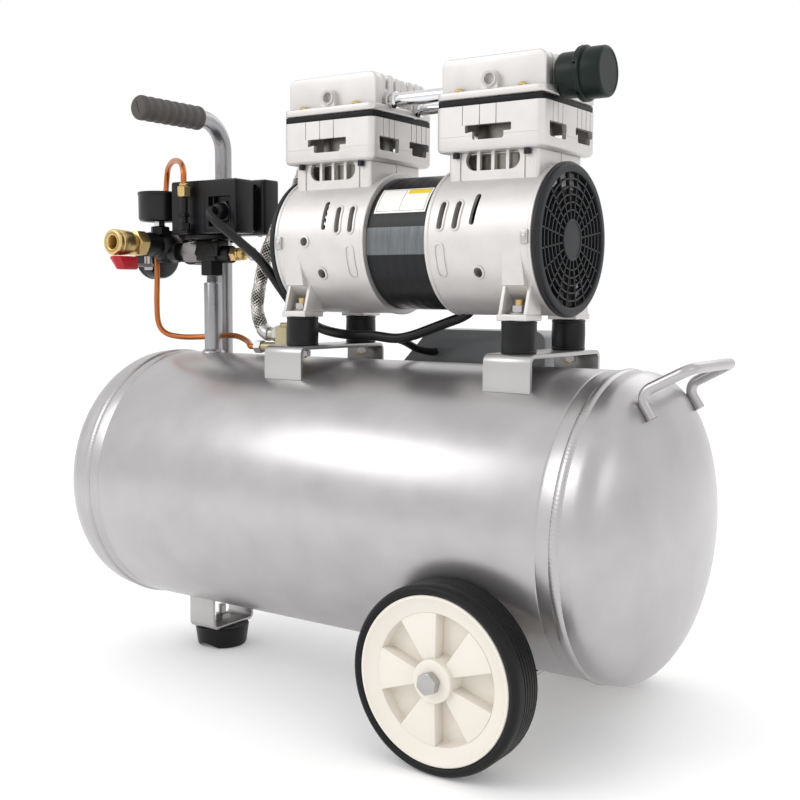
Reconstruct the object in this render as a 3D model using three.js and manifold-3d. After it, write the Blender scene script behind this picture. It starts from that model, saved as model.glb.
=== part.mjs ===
// A portable oil-free air compressor: a twin-cylinder motor pump on a horizontal air receiver with two
// wheels and one rubber foot. Millimetres, +Z up. The receiver lies along X, the wheels are at +X, and the
// air outlet points to -Y. Inside the machine group z = 0 is the receiver's axis; the exported group
// stands on z = 0 with the middle of its bounding box at x = 0, y = 0.
import * as THREE from "three";
import { mergeVertices } from "three/addons/utils/BufferGeometryUtils.js";
import Module from "manifold-3d";

// ---------------------------------------------------------------- driving dimensions
// What stands over, hangs under or lines up with another piece is placed from that piece's own values.
const gap = 0.3; // left between pieces that touch or are fixed to each other
const runningGap = 0.4; // radial, around what turns or slides

// Receiver
const tankRadius = 130;
const tankWall = 3;
const barrelHalf = 258.6; // half the length of the rolled barrel, seam to middle
const endFlange = 12; // straight skirt of a dished end
const endDepth = 51; // depth of its semi-ellipse
const tankTip = barrelHalf + endFlange + endDepth;
const beadWidth = 4.5; // half of a seam's weld bead
const beadHeight = 2;
const drainX = 0;
const drainBossRadius = 11;
const drainBossLength = 9;

// Ground, wheels and foot
const groundDepth = tankRadius + 52; // receiver axis above the ground
const wheelX = barrelHalf - 87.2;
const wheelRadius = 75.7;
const tyreDepth = 8;
const tyreWidth = 35.3;
const tyreShoulder = { across: 4, down: 2 };
const wheelOuterFace = tankRadius + 31.1; // distance of a tyre's outer face from the middle plane
const rimWall = 5.6;
const webThickness = 6;
const webSetback = 11; // web's outer face behind the tyre's outer face
const hubBossRadius = 17;
const axleRadius = 6;
const axleHeadFlats = 19;
const axleHeadHeight = 7.4;
const axleNutHeight = 9;
const axleEndLength = 3; // past its nut
const washerRadius = 11;
const bracketHalf = tankRadius - 8; // outer faces of the axle bracket's ears
const bracketThickness = 4;
const bracketWidth = 44;
const earRise = 21; // an ear's top above the axle
const footX = -(barrelHalf - 59.6);
const footStrapWidth = 34;
const footStrapHalf = 31;
const strapThickness = 3;
const footTopRadius = 29;
const footBottomRadius = 25.5;
const footHeight = 21.7;
const footBoltRadius = 4;
const footRecessRadius = 10;
const footRecessDepth = 8;

// Saddles and rubber mounts, under the sides of the crankcases
const pumpX = 66; // middle of the pump
const caseRadius = 65;
const mountOffset = 115.3; // mount rows either side of the pump's middle
const mountHalfSpan = caseRadius - 18.8; // mounts either side of the middle plane
const saddleTop = tankRadius + 13.2;
const saddleHalf = mountHalfSpan + 20.5;
const saddleThickness = 3.5;
const saddleBend = 6;
const saddleWidth = 44.2;
const saddleX = { left: pumpX - 123, right: pumpX + 115 };
const mountRadius = 15;
const mountHeight = 26.5;
const mountStudRadius = 4;
const studNutRadius = 6.8;
const studNutHeight = 6;
const studEnd = 2; // stud past its lower nut

// Motor and pump
const caseClearance = 3; // crankcases above the rubber mounts
const shaftHeight = saddleTop + gap + mountHeight + caseClearance + caseRadius;
const headOffset = 84.5; // cylinder axes either side of the pump's middle
const statorRadius = 60;
const statorHalf = 32;
const rotorRadius = 35;
const rotorHalf = 29;
const airGap = 1;
const shaftRadius = 7;
const caseWall = 4;
const caseLength = 102;
const bulkhead = 6;
const eccentricRadius = 16;
const eccentricThrow = 7;
const eccentricWidth = 10;
const pistonStroke = 14;
const bigEndWall = 5;
const boreRadius = 30;
const sleeveWall = 3;
const pistonThickness = 10;
const crownClearance = 1; // crown below the gasket at the top of the stroke
const rodWidth = 14;
const rodThickness = 10;
const neckHalfX = 43.2;
const neckHalfY = 40;
const neckTop = shaftHeight + caseRadius + 8;
const jacketLength = 104;
const jacketDepth = 98;
const jacketTop = neckTop + 38;
const jacketWall = 4;
const jacketChamfer = 5;
const sleeveDrop = 18; // sleeve's lower end below the neck's top
const gasketThickness = 5.5;
const gasketInset = 2;
const flangeTop = jacketTop + 12.4;
const headTop = jacketTop + 41;
const headBlockLength = 99.5;
const headBlockHalfY = 42;
const headCorner = 5;
const chamberWall = 6;
const headPortRadius = 7.7;
const headPortBore = 4.5;
const headPortZ = jacketTop + 20.3;
const headPortReach = 8;
const tubeBossRadius = 7;
const fanRadius = 53;
const fanHubRadius = 13;
const fanHubLength = 18;
const fanOffset = 106; // a fan hub's inner face from the pump's middle
const bladeCount = 7;
const bladeThickness = 2;
const bladePitch = THREE.MathUtils.degToRad(55);
const coverRadius = caseRadius + 1.5;
const coverThickness = 6.5;
const grilleRadius = 57;
const grilleHubRadius = 17.5;
const spokeCount = 6;
const spokeWidth = 3;
const footPadHalf = 14;
const footPadThickness = 5.5;
const gussetThickness = 3.5;
const gussetTop = shaftHeight - 33;

// Transfer tubes and intake filter
const transferRadius = 4.75;
const transferCollar = 6.5;
const transferCollarLength = 6;
const transferRows = { front: { y: -20, z: jacketTop + 17 }, rear: { y: 20, z: jacketTop + 13 } };
const filterY = -21;
const filterZ = jacketTop + 21;
const filterNeck = { radius: 8, length: 3.7 };
const filterBody = { radius: 18.5, length: 18 };
const filterFlange = { radius: 22.5, length: 6 };
const filterCap = { radius: 20.5, length: 17 };

// Standpipe, manifold and pressure switch
const pipeX = -(barrelHalf - 49.9);
const pipeRadius = 9;
const pipeBore = 4.5;
const pipeTop = tankRadius + 73;
const nippleRadius = 6.5;
const nippleTop = pipeTop + 7;
const collarFlats = 22;
const manifoldLow = nippleTop + 15;
const manifoldTop = manifoldLow + 22;
const manifoldHalfX = 13.5;
const manifoldHalfY = 11;
const safetyZ = manifoldLow + 7;
const safetyPortLength = 15;
const safetyPortRadius = 9;
const diaphragmRadius = 30;
const diaphragmHeight = 4;
const diaphragmStem = 11;
const switchLeft = pipeX - 27.3;
const switchRight = pipeX + 60.7;
const switchFront = -30;
const switchSplit = -3;
const coverFront = 12;
const switchBack = 38.5;
const switchLow = manifoldTop + 5;
const switchTop = switchLow + 54;
const coreInset = 6;
const coverInset = 2;
const glandX = switchRight - 22;
const glandZ = switchLow + 22;
const glandRadius = 8.5;
const glandLength = 7;
const recessHalf = 15;
const recessDepth = 8;
const leverX = pipeX + 16.7;
const leverZ = switchTop - 22;
const leverLength = 26;
const leverThickness = 6;
const leverHalfWidth = 3.5;
const leverBossRadius = 8;

// Outlet: regulator, gauges, ball valve and coupler
const outletX = pipeX - 59.3;
const outletY = -8;
const outletZ = manifoldLow + 16;
const regulatorBall = 17;
const regulatorArm = 11;
const regulatorLeft = outletX - 16;
const inletNutFlats = 20;
const inletNutZ = outletZ - 5.5;
const inletNutLength = 20;
const regulatorFront = -30;
const regulatorBack = 20;
const regulatorLow = outletZ - 17;
const regulatorTop = outletZ + 21;
const knobRadius = 18;
const knobLength = 30;
const gaugeStem = 5;
const topGauge = { radius: 23, y: -17, low: regulatorTop + 5, high: regulatorTop + 36 };
const sideGauge = {
  radius: 33, y: 8, z: outletZ - 5, inner: regulatorLeft - 7, outer: regulatorLeft - 31, stem: 5,
};
const gaugeDialDepth = 3;
const gaugeRim = 2.5;
const couplerZ = outletZ + 2;
const couplerEnd = regulatorFront - 54;
const couplerFlats = 24;
const couplerHexLength = 22;
const couplerSpigot = 9;
const couplerBore = 6.6;
const couplerBoreDepth = 24;
const sleeveRadius = 13;
const sleeveLength = 24;
const sleeveSetback = 4; // coupler sleeve's front edge behind the mouth
const valveLeverX = outletX + 6;
const valveLeverPivotY = regulatorFront - 10;
const valveStemRadius = 4;
const leverBarLow = couplerZ - 24;
const leverBarThickness = 3;
const leverBarWidth = 8;
const leverGrip = { from: regulatorFront - 28, to: regulatorFront - 66, width: 14, height: 13 };

// Safety valve, check valve, drain
const safetyHex = { flats: 13, length: 8 };
const safetyBody = { radius: 6, length: 10 };
const safetyPinRadius = 1.5;
const safetyPinLength = 10.5;
const safetyPinIn = 7; // how far the pull pin reaches into its valve
const safetyRingRadius = 6;
const safetyRingWire = 0.9;
const checkX = -105;
const checkFlats = 25;
const checkTop = tankRadius + 33;
const hosePort = { z: tankRadius + 21, radius: 8, length: 6 };
const unloaderPort = { y: -5, z: tankRadius + 8, radius: 6, length: 26 };
const drainStem = 4;
const drainLength = 16;
const drainCollar = { radius: 7, height: 4 };
const drainWing = { half: 14, height: 7, thickness: 3 };

// Tubes, hose and cable
const handleX = -(barrelHalf - 20.6);
const handleY = 48.7;
const handleRadius = 9;
const handleTop = tankRadius + 246.4;
const handleBend = 32;
const gripRadius = 12.5;
const gripFrom = 12;
const gripTo = -74;
const gripEnd = 3;
const rodRadius = 4.5;
const liftReach = tankTip + 8.4; // middle of the lifting handle's cross bar
const liftBend = 10;
const copperRadius = 3;
const hoseRadius = 6.5;
const crimpRadius = 8;
const cableRadius = 4.6;
const leadRadius = 3.6;
const unloaderNut = {
  x: switchLeft + 24, y: switchFront - 7.5, flats: 12, stem: 4,
  low: switchLow + 4, nutLow: switchTop - 17, top: switchTop - 6,
};
const hoseFitting = { y: 10, z: jacketTop + 21.5, length: 22 };

// Capacitor box behind the pump
const boxFront = 62;
const boxBack = 108;
const boxTop = tankRadius + 28;
const boxLeft = -15;
const boxLeftTop = 23;
const boxLeftHeight = tankRadius - 28.6; // top of its left wall
const boxRight = 150;
const boxCorner = 12;

const roundSegments = 18;
const tankSegments = 32;
const wheelSegments = 24;
const smallSegments = 8;

// The corner radius of a hole of few sides whose flats clear what turns inside it.
const runningBore = (radius) => (radius + runningGap) / Math.cos(Math.PI / smallSegments);

// ---------------------------------------------------------------- solids
const wasm = await Module();
wasm.setup();

// A closed three.js geometry as a solid that can be joined and cut, with its faces turned outwards.
function solidOf(geometry) {
  const bare = geometry.clone();
  bare.deleteAttribute("normal");
  bare.deleteAttribute("uv");
  const merged = mergeVertices(bare, 1e-4);
  const points = merged.attributes.position;
  const corners = merged.index.array;
  const triangles = [];
  const [a, b, c] = [new THREE.Vector3(), new THREE.Vector3(), new THREE.Vector3()];
  let volume = 0;
  for (let i = 0; i < corners.length; i += 3) {
    const [p, q, r] = corners.slice(i, i + 3);
    if (p === q || q === r || r === p) continue;
    triangles.push([p, q, r]);
    a.fromBufferAttribute(points, p);
    b.fromBufferAttribute(points, q);
    c.fromBufferAttribute(points, r);
    volume += a.dot(b.cross(c));
  }
  if (volume < 0) triangles.forEach((triangle) => triangle.reverse());
  const vertProperties = new Float32Array(points.array);
  const triVerts = new Uint32Array(triangles.flat());
  return new wasm.Manifold(new wasm.Mesh({ numProp: 3, vertProperties, triVerts }));
}

function geometryOf(solid) {
  const mesh = solid.getMesh();
  const geometry = new THREE.BufferGeometry();
  geometry.setAttribute("position", new THREE.BufferAttribute(mesh.vertProperties.slice(), 3));
  geometry.setIndex(new THREE.BufferAttribute(mesh.triVerts.slice(), 1));
  return geometry;
}

const joined = (first, ...others) => others.reduce((sum, other) => sum.add(other), first);
const cut = (first, ...others) => others.reduce((rest, other) => rest.subtract(other), first);

// The same solid on the other side of the plane x = 0, or y = 0.
const acrossX = (solid) => solidOf(geometryOf(solid).scale(-1, 1, 1));
const acrossY = (solid) => solidOf(geometryOf(solid).scale(1, -1, 1));

// A profile of [along, radius] points turned round an axis that passes through centre.
function turned(axis, centre, profile, segments = roundSegments) {
  const points = profile.map(([along, radius]) => new THREE.Vector2(radius, along));
  if (profile[0][1] > 0) points.push(points[0].clone());
  const geometry = new THREE.LatheGeometry(points, segments);
  if (axis === "x") geometry.rotateZ(-Math.PI / 2);
  if (axis === "z") geometry.rotateX(Math.PI / 2);
  return solidOf(geometry.translate(...centre));
}

const drum = (axis, centre, from, to, radius, segments) =>
  turned(axis, centre, [[from, 0], [from, radius], [to, radius], [to, 0]], segments);

const ring = (axis, centre, from, to, outer, inner, segments) =>
  turned(axis, centre, [[from, inner], [from, outer], [to, outer], [to, inner]], segments);

const hexagon = (axis, centre, from, to, flats) =>
  drum(axis, centre, from, to, flats / Math.sqrt(3), 6);

function block(low, high) {
  const size = high.map((value, i) => value - low[i]);
  const middle = high.map((value, i) => (value + low[i]) / 2);
  return solidOf(new THREE.BoxGeometry(...size).translate(...middle));
}

// An outline extruded along an axis. Its two coordinates are (y, z) along x, (x, z) along y and (x, y) along z.
function plate(axis, outline, from, to, curveSegments = 1) {
  const depth = to - from;
  const geometry = new THREE.ExtrudeGeometry(outline, { depth, bevelEnabled: false, curveSegments });
  const [X, Y, Z] = [[1, 0, 0], [0, 1, 0], [0, 0, 1]].map((v) => new THREE.Vector3(...v));
  const turn = new THREE.Matrix4();
  if (axis === "x") geometry.applyMatrix4(turn.makeBasis(Y, Z, X)).translate(from, 0, 0);
  if (axis === "y") geometry.applyMatrix4(turn.makeBasis(X, Z, Y.negate())).translate(0, to, 0);
  if (axis === "z") geometry.translate(0, 0, from);
  return solidOf(geometry);
}

function outlineOf(points) {
  return new THREE.Shape(points.map(([u, v]) => new THREE.Vector2(u, v)));
}

function roundedRectangle(halfU, halfV, radius, middleU = 0, middleV = 0) {
  const shape = new THREE.Shape();
  const corner = (signU, signV, start) =>
    shape.absarc(
      middleU + signU * (halfU - radius), middleV + signV * (halfV - radius),
      radius, start, start + Math.PI / 2,
    );
  corner(1, -1, -Math.PI / 2);
  corner(1, 1, 0);
  corner(-1, 1, Math.PI / 2);
  corner(-1, -1, Math.PI);
  shape.closePath();
  return shape;
}

const circle = (radius) => new THREE.Shape().absarc(0, 0, radius, 0, 2 * Math.PI);

// A round bar or tube along a curve.
function along(curve, radius, sides, steps) {
  const curveSegments = sides / 2; // an arc is given two sides for each
  const section = circle(radius);
  return solidOf(new THREE.ExtrudeGeometry(section, { extrudePath: curve, steps, curveSegments }));
}

const vector = ([x, y, z]) => new THREE.Vector3(x, y, z);

// Straight runs joined by bends: each inner point is a corner, cut back by the bend's size.
function bentPath(points, bend) {
  const path = new THREE.CurvePath();
  const corners = points.map(vector);
  let start = corners[0];
  for (let i = 1; i < corners.length - 1; i++) {
    const before = corners[i].clone().add(
      corners[i - 1].clone().sub(corners[i]).setLength(bend));
    const after = corners[i].clone().add(
      corners[i + 1].clone().sub(corners[i]).setLength(bend));
    path.add(new THREE.LineCurve3(start, before));
    path.add(new THREE.QuadraticBezierCurve3(before, corners[i], after));
    start = after;
  }
  path.add(new THREE.LineCurve3(start, corners.at(-1)));
  return path;
}

const smoothPath = (points) => new THREE.CatmullRomCurve3(points.map(vector), false, "centripetal");

// An open U of bent strap in the y-z plane: its web at webZ, its legs reaching to legZ.
function strap(webZ, legZ, half, thickness, bend) {
  const steps = 3;
  const down = Math.sign(legZ - webZ);
  const turn = (radius) => {
    const points = [];
    for (let i = 0; i <= steps; i++) {
      const angle = (i / steps) * (Math.PI / 2);
      const y = half - bend + radius * Math.cos(angle);
      points.push([y, webZ + down * (bend - radius * Math.sin(angle))]);
    }
    return points;
  };
  const outer = turn(bend);
  const inner = turn(bend - thickness);
  const right = [[half, legZ], ...outer];
  const rightInner = [[half - thickness, legZ], ...inner];
  const flip = (points) => points.map(([y, z]) => [-y, z]).reverse();
  return outlineOf([...right, ...flip(right), ...flip(rightInner).reverse(), ...rightInner.reverse()]);
}

// ---------------------------------------------------------------- finishes
const finish = (color, roughness, metalness) =>
  new THREE.MeshStandardMaterial({ color, roughness, metalness });
const silverPaint = finish("#b9b4b2", 0.4, 0.6);
const zincPlate = finish("#c9ccd0", 0.35, 0.9);
const castAluminium = finish("#d9d5d2", 0.5, 0.4);
const blackPlastic = finish("#2b2b2d", 0.5, 0);
const blackRubber = finish("#1b1b1c", 0.8, 0);
const whitePlastic = finish("#e8e1dc", 0.45, 0);
const steel = finish("#8d9096", 0.35, 1);
const brass = finish("#c9a45c", 0.3, 1);
const copper = finish("#b87448", 0.3, 1);
const redVinyl = finish("#c8323c", 0.45, 0);
const greyPaint = finish("#8f9294", 0.5, 0.3);
const greyRubber = finish("#5b5856", 0.8, 0);
const laminations = finish("#1d1d1f", 0.45, 0.5);

const machine = new THREE.Group();
const pump = new THREE.Group();
pump.position.x = pumpX;
machine.add(pump);

function piece(group, name, solid, material) {
  const mesh = new THREE.Mesh(geometryOf(solid), material);
  mesh.name = name;
  group.add(mesh);
}

// ---------------------------------------------------------------- receiver
const origin = [0, 0, 0];
const aroundTank = drum("x", origin, -tankTip, tankTip, tankRadius + gap, 2 * tankSegments);
const bottomOfTank = -(tankRadius + gap);

function tankBarrel() {
  const shell = turned("x", origin, [
    [-barrelHalf, tankRadius - tankWall],
    [-barrelHalf, tankRadius + beadHeight],
    [-barrelHalf + beadWidth, tankRadius],
    [barrelHalf - beadWidth, tankRadius],
    [barrelHalf, tankRadius + beadHeight],
    [barrelHalf, tankRadius - tankWall],
  ], tankSegments);
  const bossTop = -(tankRadius - tankWall / 2);
  const bossLow = bossTop - drainBossLength;
  const boss = drum("z", [drainX, 0, 0], bossLow, bossTop, drainBossRadius, smallSegments);
  const bore = drum("z", [drainX, 0, 0], bossLow - 1, -(tankRadius - 2 * tankWall),
    drainStem + gap, smallSegments);
  return cut(joined(shell, boss), bore);
}

// Points of an end's curve, from the flange to the tip, for a surface pulled in by inset.
function endCurve(inset, steps) {
  const points = [];
  for (let i = 0; i <= steps; i++) {
    const angle = (i / steps) * (Math.PI / 2);
    const x = barrelHalf + endFlange + (endDepth - inset) * Math.sin(angle);
    points.push([x, i === steps ? 0 : (tankRadius - inset) * Math.cos(angle)]);
  }
  return points;
}

function tankEnd() {
  const curveSteps = 4;
  const seam = barrelHalf + gap;
  return turned("x", origin, [
    ...endCurve(0, curveSteps).reverse(),
    [seam + beadWidth, tankRadius],
    [seam, tankRadius + beadHeight],
    [seam, tankRadius - tankWall],
    ...endCurve(tankWall, curveSteps),
  ], tankSegments);
}

const rightEnd = tankEnd();
const aroundRightEnd = turned("x", origin, [
  [barrelHalf, 0], [barrelHalf, tankRadius + gap], ...endCurve(-gap, 12),
], 2 * tankSegments);

piece(machine, "tank_barrel", tankBarrel(), silverPaint);
piece(machine, "tank_right_end", rightEnd, silverPaint);
piece(machine, "tank_left_end", acrossX(rightEnd), silverPaint);

// Drain cock: a screw with a wing, in the boss under the barrel.
const drainTop = bottomOfTank;
const drainFace = -(tankRadius - tankWall / 2) - drainBossLength - gap;
piece(machine, "drain_cock", joined(
  drum("z", [drainX, 0, 0], drainFace - drainLength, drainTop, drainStem, smallSegments),
  drum("z", [drainX, 0, 0], drainFace - drainCollar.height, drainFace, drainCollar.radius, smallSegments),
  block(
    [drainX - drainWing.half, -drainWing.thickness / 2, drainFace - drainLength],
    [drainX + drainWing.half, drainWing.thickness / 2, drainFace - drainLength + drainWing.height]),
), brass);

// ---------------------------------------------------------------- lifting handle and push handle
const liftRoot = [liftReach - 28, 52, tankRadius - 34];
const liftElbow = [liftReach - 40, 52, tankRadius - 14];
const liftKnee = [liftReach, 48, tankRadius + 7];
const nearSide = ([x, y, z]) => [x, -y, z];
const liftPath = bentPath([
  nearSide(liftRoot), nearSide(liftElbow), nearSide(liftKnee), liftKnee, liftElbow, liftRoot,
], liftBend);
piece(machine, "lifting_handle", cut(along(liftPath, rodRadius, 8, 30), aroundRightEnd), silverPaint);

const handleFoot = tankRadius / 2;
const pushPath = bentPath([
  [handleX, handleY, handleFoot], [handleX, handleY, handleTop], [handleX, gripTo + gripEnd + gap, handleTop],
], handleBend);
piece(machine, "push_handle_tube", cut(along(pushPath, handleRadius, smallSegments, 22), aroundTank),
  silverPaint);
piece(machine, "handle_grip", turned("y", [handleX, 0, handleTop], [
  [gripTo, 0], [gripTo, gripRadius], [gripFrom, gripRadius], [gripFrom, handleRadius + gap],
  [gripTo + gripEnd, handleRadius + gap], [gripTo + gripEnd, 0],
], 16), greyRubber);

// ---------------------------------------------------------------- saddles and rubber mounts
const studHoleRadius = mountStudRadius + gap;
const mountLow = saddleTop + gap;
const mountTop = mountLow + mountHeight;
const mountX = { left: pumpX - mountOffset, right: pumpX + mountOffset };
for (const side of ["left", "right"]) {
  const from = saddleX[side] - saddleWidth / 2;
  const outline = strap(saddleTop, tankRadius / 2, saddleHalf, saddleThickness, saddleBend);
  const strip = cut(plate("x", outline, from, from + saddleWidth), aroundTank);
  const holes = [-1, 1].map((sign) =>
    drum("z", [mountX[side], sign * mountHalfSpan, 0], saddleTop - 2 * saddleThickness, mountLow,
      studHoleRadius, smallSegments));
  piece(machine, side + "_saddle", cut(strip, ...holes), zincPlate);
}

const padLow = mountTop + gap;
const padTop = padLow + footPadThickness;
const lowerNutTop = saddleTop - saddleThickness - gap;
const mountProfile = [
  [lowerNutTop - studNutHeight - studEnd, 0],
  [lowerNutTop - studNutHeight - studEnd, mountStudRadius],
  [lowerNutTop - studNutHeight, mountStudRadius],
  [lowerNutTop - studNutHeight, studNutRadius],
  [lowerNutTop, studNutRadius],
  [lowerNutTop, mountStudRadius],
  [mountLow, mountStudRadius],
  [mountLow, mountRadius],
  [mountTop, mountRadius],
  [mountTop, mountStudRadius],
  [padTop + gap, mountStudRadius],
  [padTop + gap, studNutRadius],
  [padTop + gap + studNutHeight, studNutRadius],
  [padTop + gap + studNutHeight, mountStudRadius],
  [padTop + gap + 2 * studNutHeight, mountStudRadius],
  [padTop + gap + 2 * studNutHeight, 0],
];
for (const side of ["left", "right"]) {
  for (const [row, sign] of [["front", -1], ["rear", 1]]) {
    const centre = [mountX[side], sign * mountHalfSpan, 0];
    piece(machine, `${side}_${row}_mount`, turned("z", centre, mountProfile, smallSegments), blackRubber);
  }
}

// ---------------------------------------------------------------- wheels, axles and foot
const axleZ = wheelRadius - groundDepth;
const rimRadius = wheelRadius - tyreDepth;
const wheelInnerFace = wheelOuterFace - tyreWidth;
const axleBore = axleRadius + runningGap;
const wheelCentre = [wheelX, 0, axleZ];
const rimInset = 0.6; // rim edges behind the tyre's faces
const webOuter = wheelOuterFace - webSetback;

// The rear wheel's pieces are made at +Y, and the front wheel's are the same across the middle plane.
const tyre = turned("y", wheelCentre, [
  [wheelInnerFace, rimRadius + gap],
  [wheelInnerFace, wheelRadius - tyreShoulder.down],
  [wheelInnerFace + tyreShoulder.across, wheelRadius],
  [wheelOuterFace - tyreShoulder.across, wheelRadius],
  [wheelOuterFace, wheelRadius - tyreShoulder.down],
  [wheelOuterFace, rimRadius + gap],
], wheelSegments);
const hub = turned("y", wheelCentre, [
  [wheelInnerFace, axleBore],
  [wheelInnerFace, hubBossRadius],
  [webOuter - webThickness, hubBossRadius],
  [webOuter - webThickness, rimRadius - rimWall],
  [wheelInnerFace + rimInset, rimRadius - rimWall],
  [wheelInnerFace + rimInset, rimRadius],
  [wheelOuterFace - rimInset, rimRadius],
  [wheelOuterFace - rimInset, rimRadius - rimWall],
  [webOuter, rimRadius - rimWall],
  [webOuter, hubBossRadius],
  [wheelOuterFace, hubBossRadius],
  [wheelOuterFace, axleBore],
], wheelSegments);

const earInner = bracketHalf - bracketThickness;
const axleBolt = joined(
  drum("y", wheelCentre, earInner - gap - axleNutHeight - axleEndLength, wheelOuterFace + 1, axleRadius,
    smallSegments),
  hexagon("y", wheelCentre, wheelOuterFace + gap, wheelOuterFace + gap + axleHeadHeight, axleHeadFlats),
  hexagon("y", wheelCentre, earInner - gap - axleNutHeight, earInner - gap, axleHeadFlats),
  drum("y", wheelCentre, bracketHalf + gap, wheelInnerFace - gap, washerRadius, smallSegments),
);
for (const [name, solid, material] of [
  ["tyre", tyre, blackRubber], ["wheel_hub", hub, whitePlastic], ["axle_bolt", axleBolt, zincPlate],
]) {
  piece(machine, "rear_" + name, solid, material);
  piece(machine, "front_" + name, acrossY(solid), material);
}

const bracketWeb = bottomOfTank - bracketThickness;
const axleHole = drum("y", wheelCentre, -bracketHalf - 1, bracketHalf + 1, axleRadius + gap, smallSegments);
const roomUnderNut = axleZ - axleHeadFlats / Math.sqrt(3) - gap - bracketWeb;
const bracketBend = Math.min(2 * bracketThickness, roomUnderNut); // the nut clears the bend
const bracketOutline = strap(bracketWeb, axleZ + earRise, bracketHalf, bracketThickness, bracketBend);
piece(machine, "axle_bracket", cut(
  plate("x", bracketOutline, wheelX - bracketWidth / 2, wheelX + bracketWidth / 2), axleHole), zincPlate);

const footTop = footHeight - groundDepth;
const footWeb = footTop + gap;
const footHole = drum("z", [footX, 0, 0], -groundDepth - 1, footWeb + 2 * strapThickness,
  footBoltRadius + gap, smallSegments);
const footOutline = strap(footWeb, -tankRadius / 2, footStrapHalf, strapThickness, 2 * strapThickness);
piece(machine, "foot_bracket", cut(
  plate("x", footOutline, footX - footStrapWidth / 2, footX + footStrapWidth / 2), aroundTank, footHole),
zincPlate);
piece(machine, "rubber_foot", cut(
  turned("z", [footX, 0, 0], [
    [-groundDepth, 0], [-groundDepth, footBottomRadius], [footTop, footTopRadius], [footTop, 0],
  ]),
  footHole,
  drum("z", [footX, 0, 0], -groundDepth - 1, footRecessDepth - groundDepth, footRecessRadius, smallSegments),
), blackRubber);

// ---------------------------------------------------------------- motor and crankcases
// Everything here is inside the pump group, where x = 0 is the motor's middle. A right-hand piece is made
// first and the left-hand one is the same across that plane.
const shaft = [0, 0, shaftHeight];
const caseStart = statorHalf + gap;
const caseEnd = caseStart + caseLength;
const bothSides = (name, solid, material) => {
  piece(pump, "right_" + name, solid, material);
  piece(pump, "left_" + name, acrossX(solid), material);
};

piece(pump, "stator_core", ring("x", shaft, -statorHalf, statorHalf, statorRadius, rotorRadius + airGap,
  wheelSegments), laminations);

const sleeveOuter = boreRadius + sleeveWall;
function crankcase() {
  const shell = drum("x", shaft, caseStart, caseEnd, caseRadius, wheelSegments);
  const neck = block([headOffset - neckHalfX, -neckHalfY, shaftHeight],
    [headOffset + neckHalfX, neckHalfY, neckTop]);
  const legs = [-1, 1].flatMap((sign) => {
    const middle = sign * mountHalfSpan;
    const pad = block([mountOffset - footPadHalf, middle - footPadHalf, padLow],
      [mountOffset + footPadHalf, middle + footPadHalf, padTop]);
    const edges = [middle - sign * footPadHalf, middle + sign * footPadHalf, middle];
    const gusset = outlineOf([
      [edges[0], padLow], [edges[1], padLow], [edges[2], gussetTop], [edges[0], gussetTop],
    ]);
    const [inner, outer] = [-1, 1].map((end) => {
      const x = mountOffset + end * (footPadHalf - gussetThickness / 2);
      return plate("x", gusset, x - gussetThickness / 2, x + gussetThickness / 2);
    });
    return [pad, inner, outer];
  });
  const studs = [-1, 1].map((sign) =>
    drum("z", [mountOffset, sign * mountHalfSpan, 0], padLow - 1, padTop + 1, studHoleRadius, smallSegments));
  const cavity = drum("x", shaft, caseStart + bulkhead, caseEnd + 1, caseRadius - caseWall, wheelSegments);
  const bearing = drum("x", shaft, caseStart - 1, caseEnd, runningBore(shaftRadius), smallSegments);
  const bore = drum("z", [headOffset, 0, 0], shaftHeight, neckTop + 1, sleeveOuter + gap);
  return cut(joined(shell, neck, ...legs), cavity, bearing, bore, ...studs);
}
bothSides("crankcase", crankcase(), castAluminium);

// Rotor, shaft and both eccentrics, pointing opposite ways.
const shaftReach = fanOffset + fanHubLength - 2;
piece(pump, "crankshaft", joined(
  drum("x", shaft, -shaftReach, shaftReach, shaftRadius, smallSegments),
  drum("x", shaft, -rotorHalf, rotorHalf, rotorRadius),
  ...[-1, 1].map((side) =>
    drum("x", [side * headOffset, side * eccentricThrow, shaftHeight], -eccentricWidth / 2,
      eccentricWidth / 2, eccentricRadius)),
), steel);

// A big end has room for the eccentric at any angle and any place of the piston.
const bigEndBore = eccentricRadius + 2 * eccentricThrow + 2 * runningGap;
const bigEndRadius = bigEndBore + bigEndWall;
const gasketLow = jacketTop + gap;
const crownTop = gasketLow - crownClearance - pistonStroke / 2;
const pistonRadius = boreRadius - runningGap;
bothSides("piston", joined(
  drum("z", [headOffset, 0, 0], crownTop - pistonThickness, crownTop, pistonRadius),
  block([headOffset - rodThickness / 2, -rodWidth / 2, shaftHeight + bigEndBore + 1],
    [headOffset + rodThickness / 2, rodWidth / 2, crownTop - pistonThickness + 1]),
  ring("x", [headOffset, 0, shaftHeight], -rodThickness / 2, rodThickness / 2, bigEndRadius, bigEndBore),
), steel);

// Cooling fans and their grilles.
function fan() {
  const blades = Array.from({ length: bladeCount }, (_, i) => {
    const geometry = new THREE.BoxGeometry(fanHubLength - 2, bladeThickness, fanRadius - fanHubRadius + 3);
    geometry.translate(0, 0, (fanRadius + fanHubRadius - 3) / 2);
    const twisted = new THREE.Matrix4().makeRotationZ(Math.PI / 2 - bladePitch);
    const spun = new THREE.Matrix4().makeRotationX((i / bladeCount) * 2 * Math.PI);
    geometry.applyMatrix4(twisted).applyMatrix4(spun);
    return solidOf(geometry.translate(fanOffset + fanHubLength / 2, 0, shaftHeight));
  });
  const boss = drum("x", shaft, fanOffset, fanOffset + fanHubLength, fanHubRadius, 16);
  const bore = drum("x", shaft, fanOffset - 1, shaftReach + gap, shaftRadius + gap, smallSegments);
  return cut(joined(boss, ...blades), bore);
}
bothSides("fan", fan(), blackPlastic);

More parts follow.
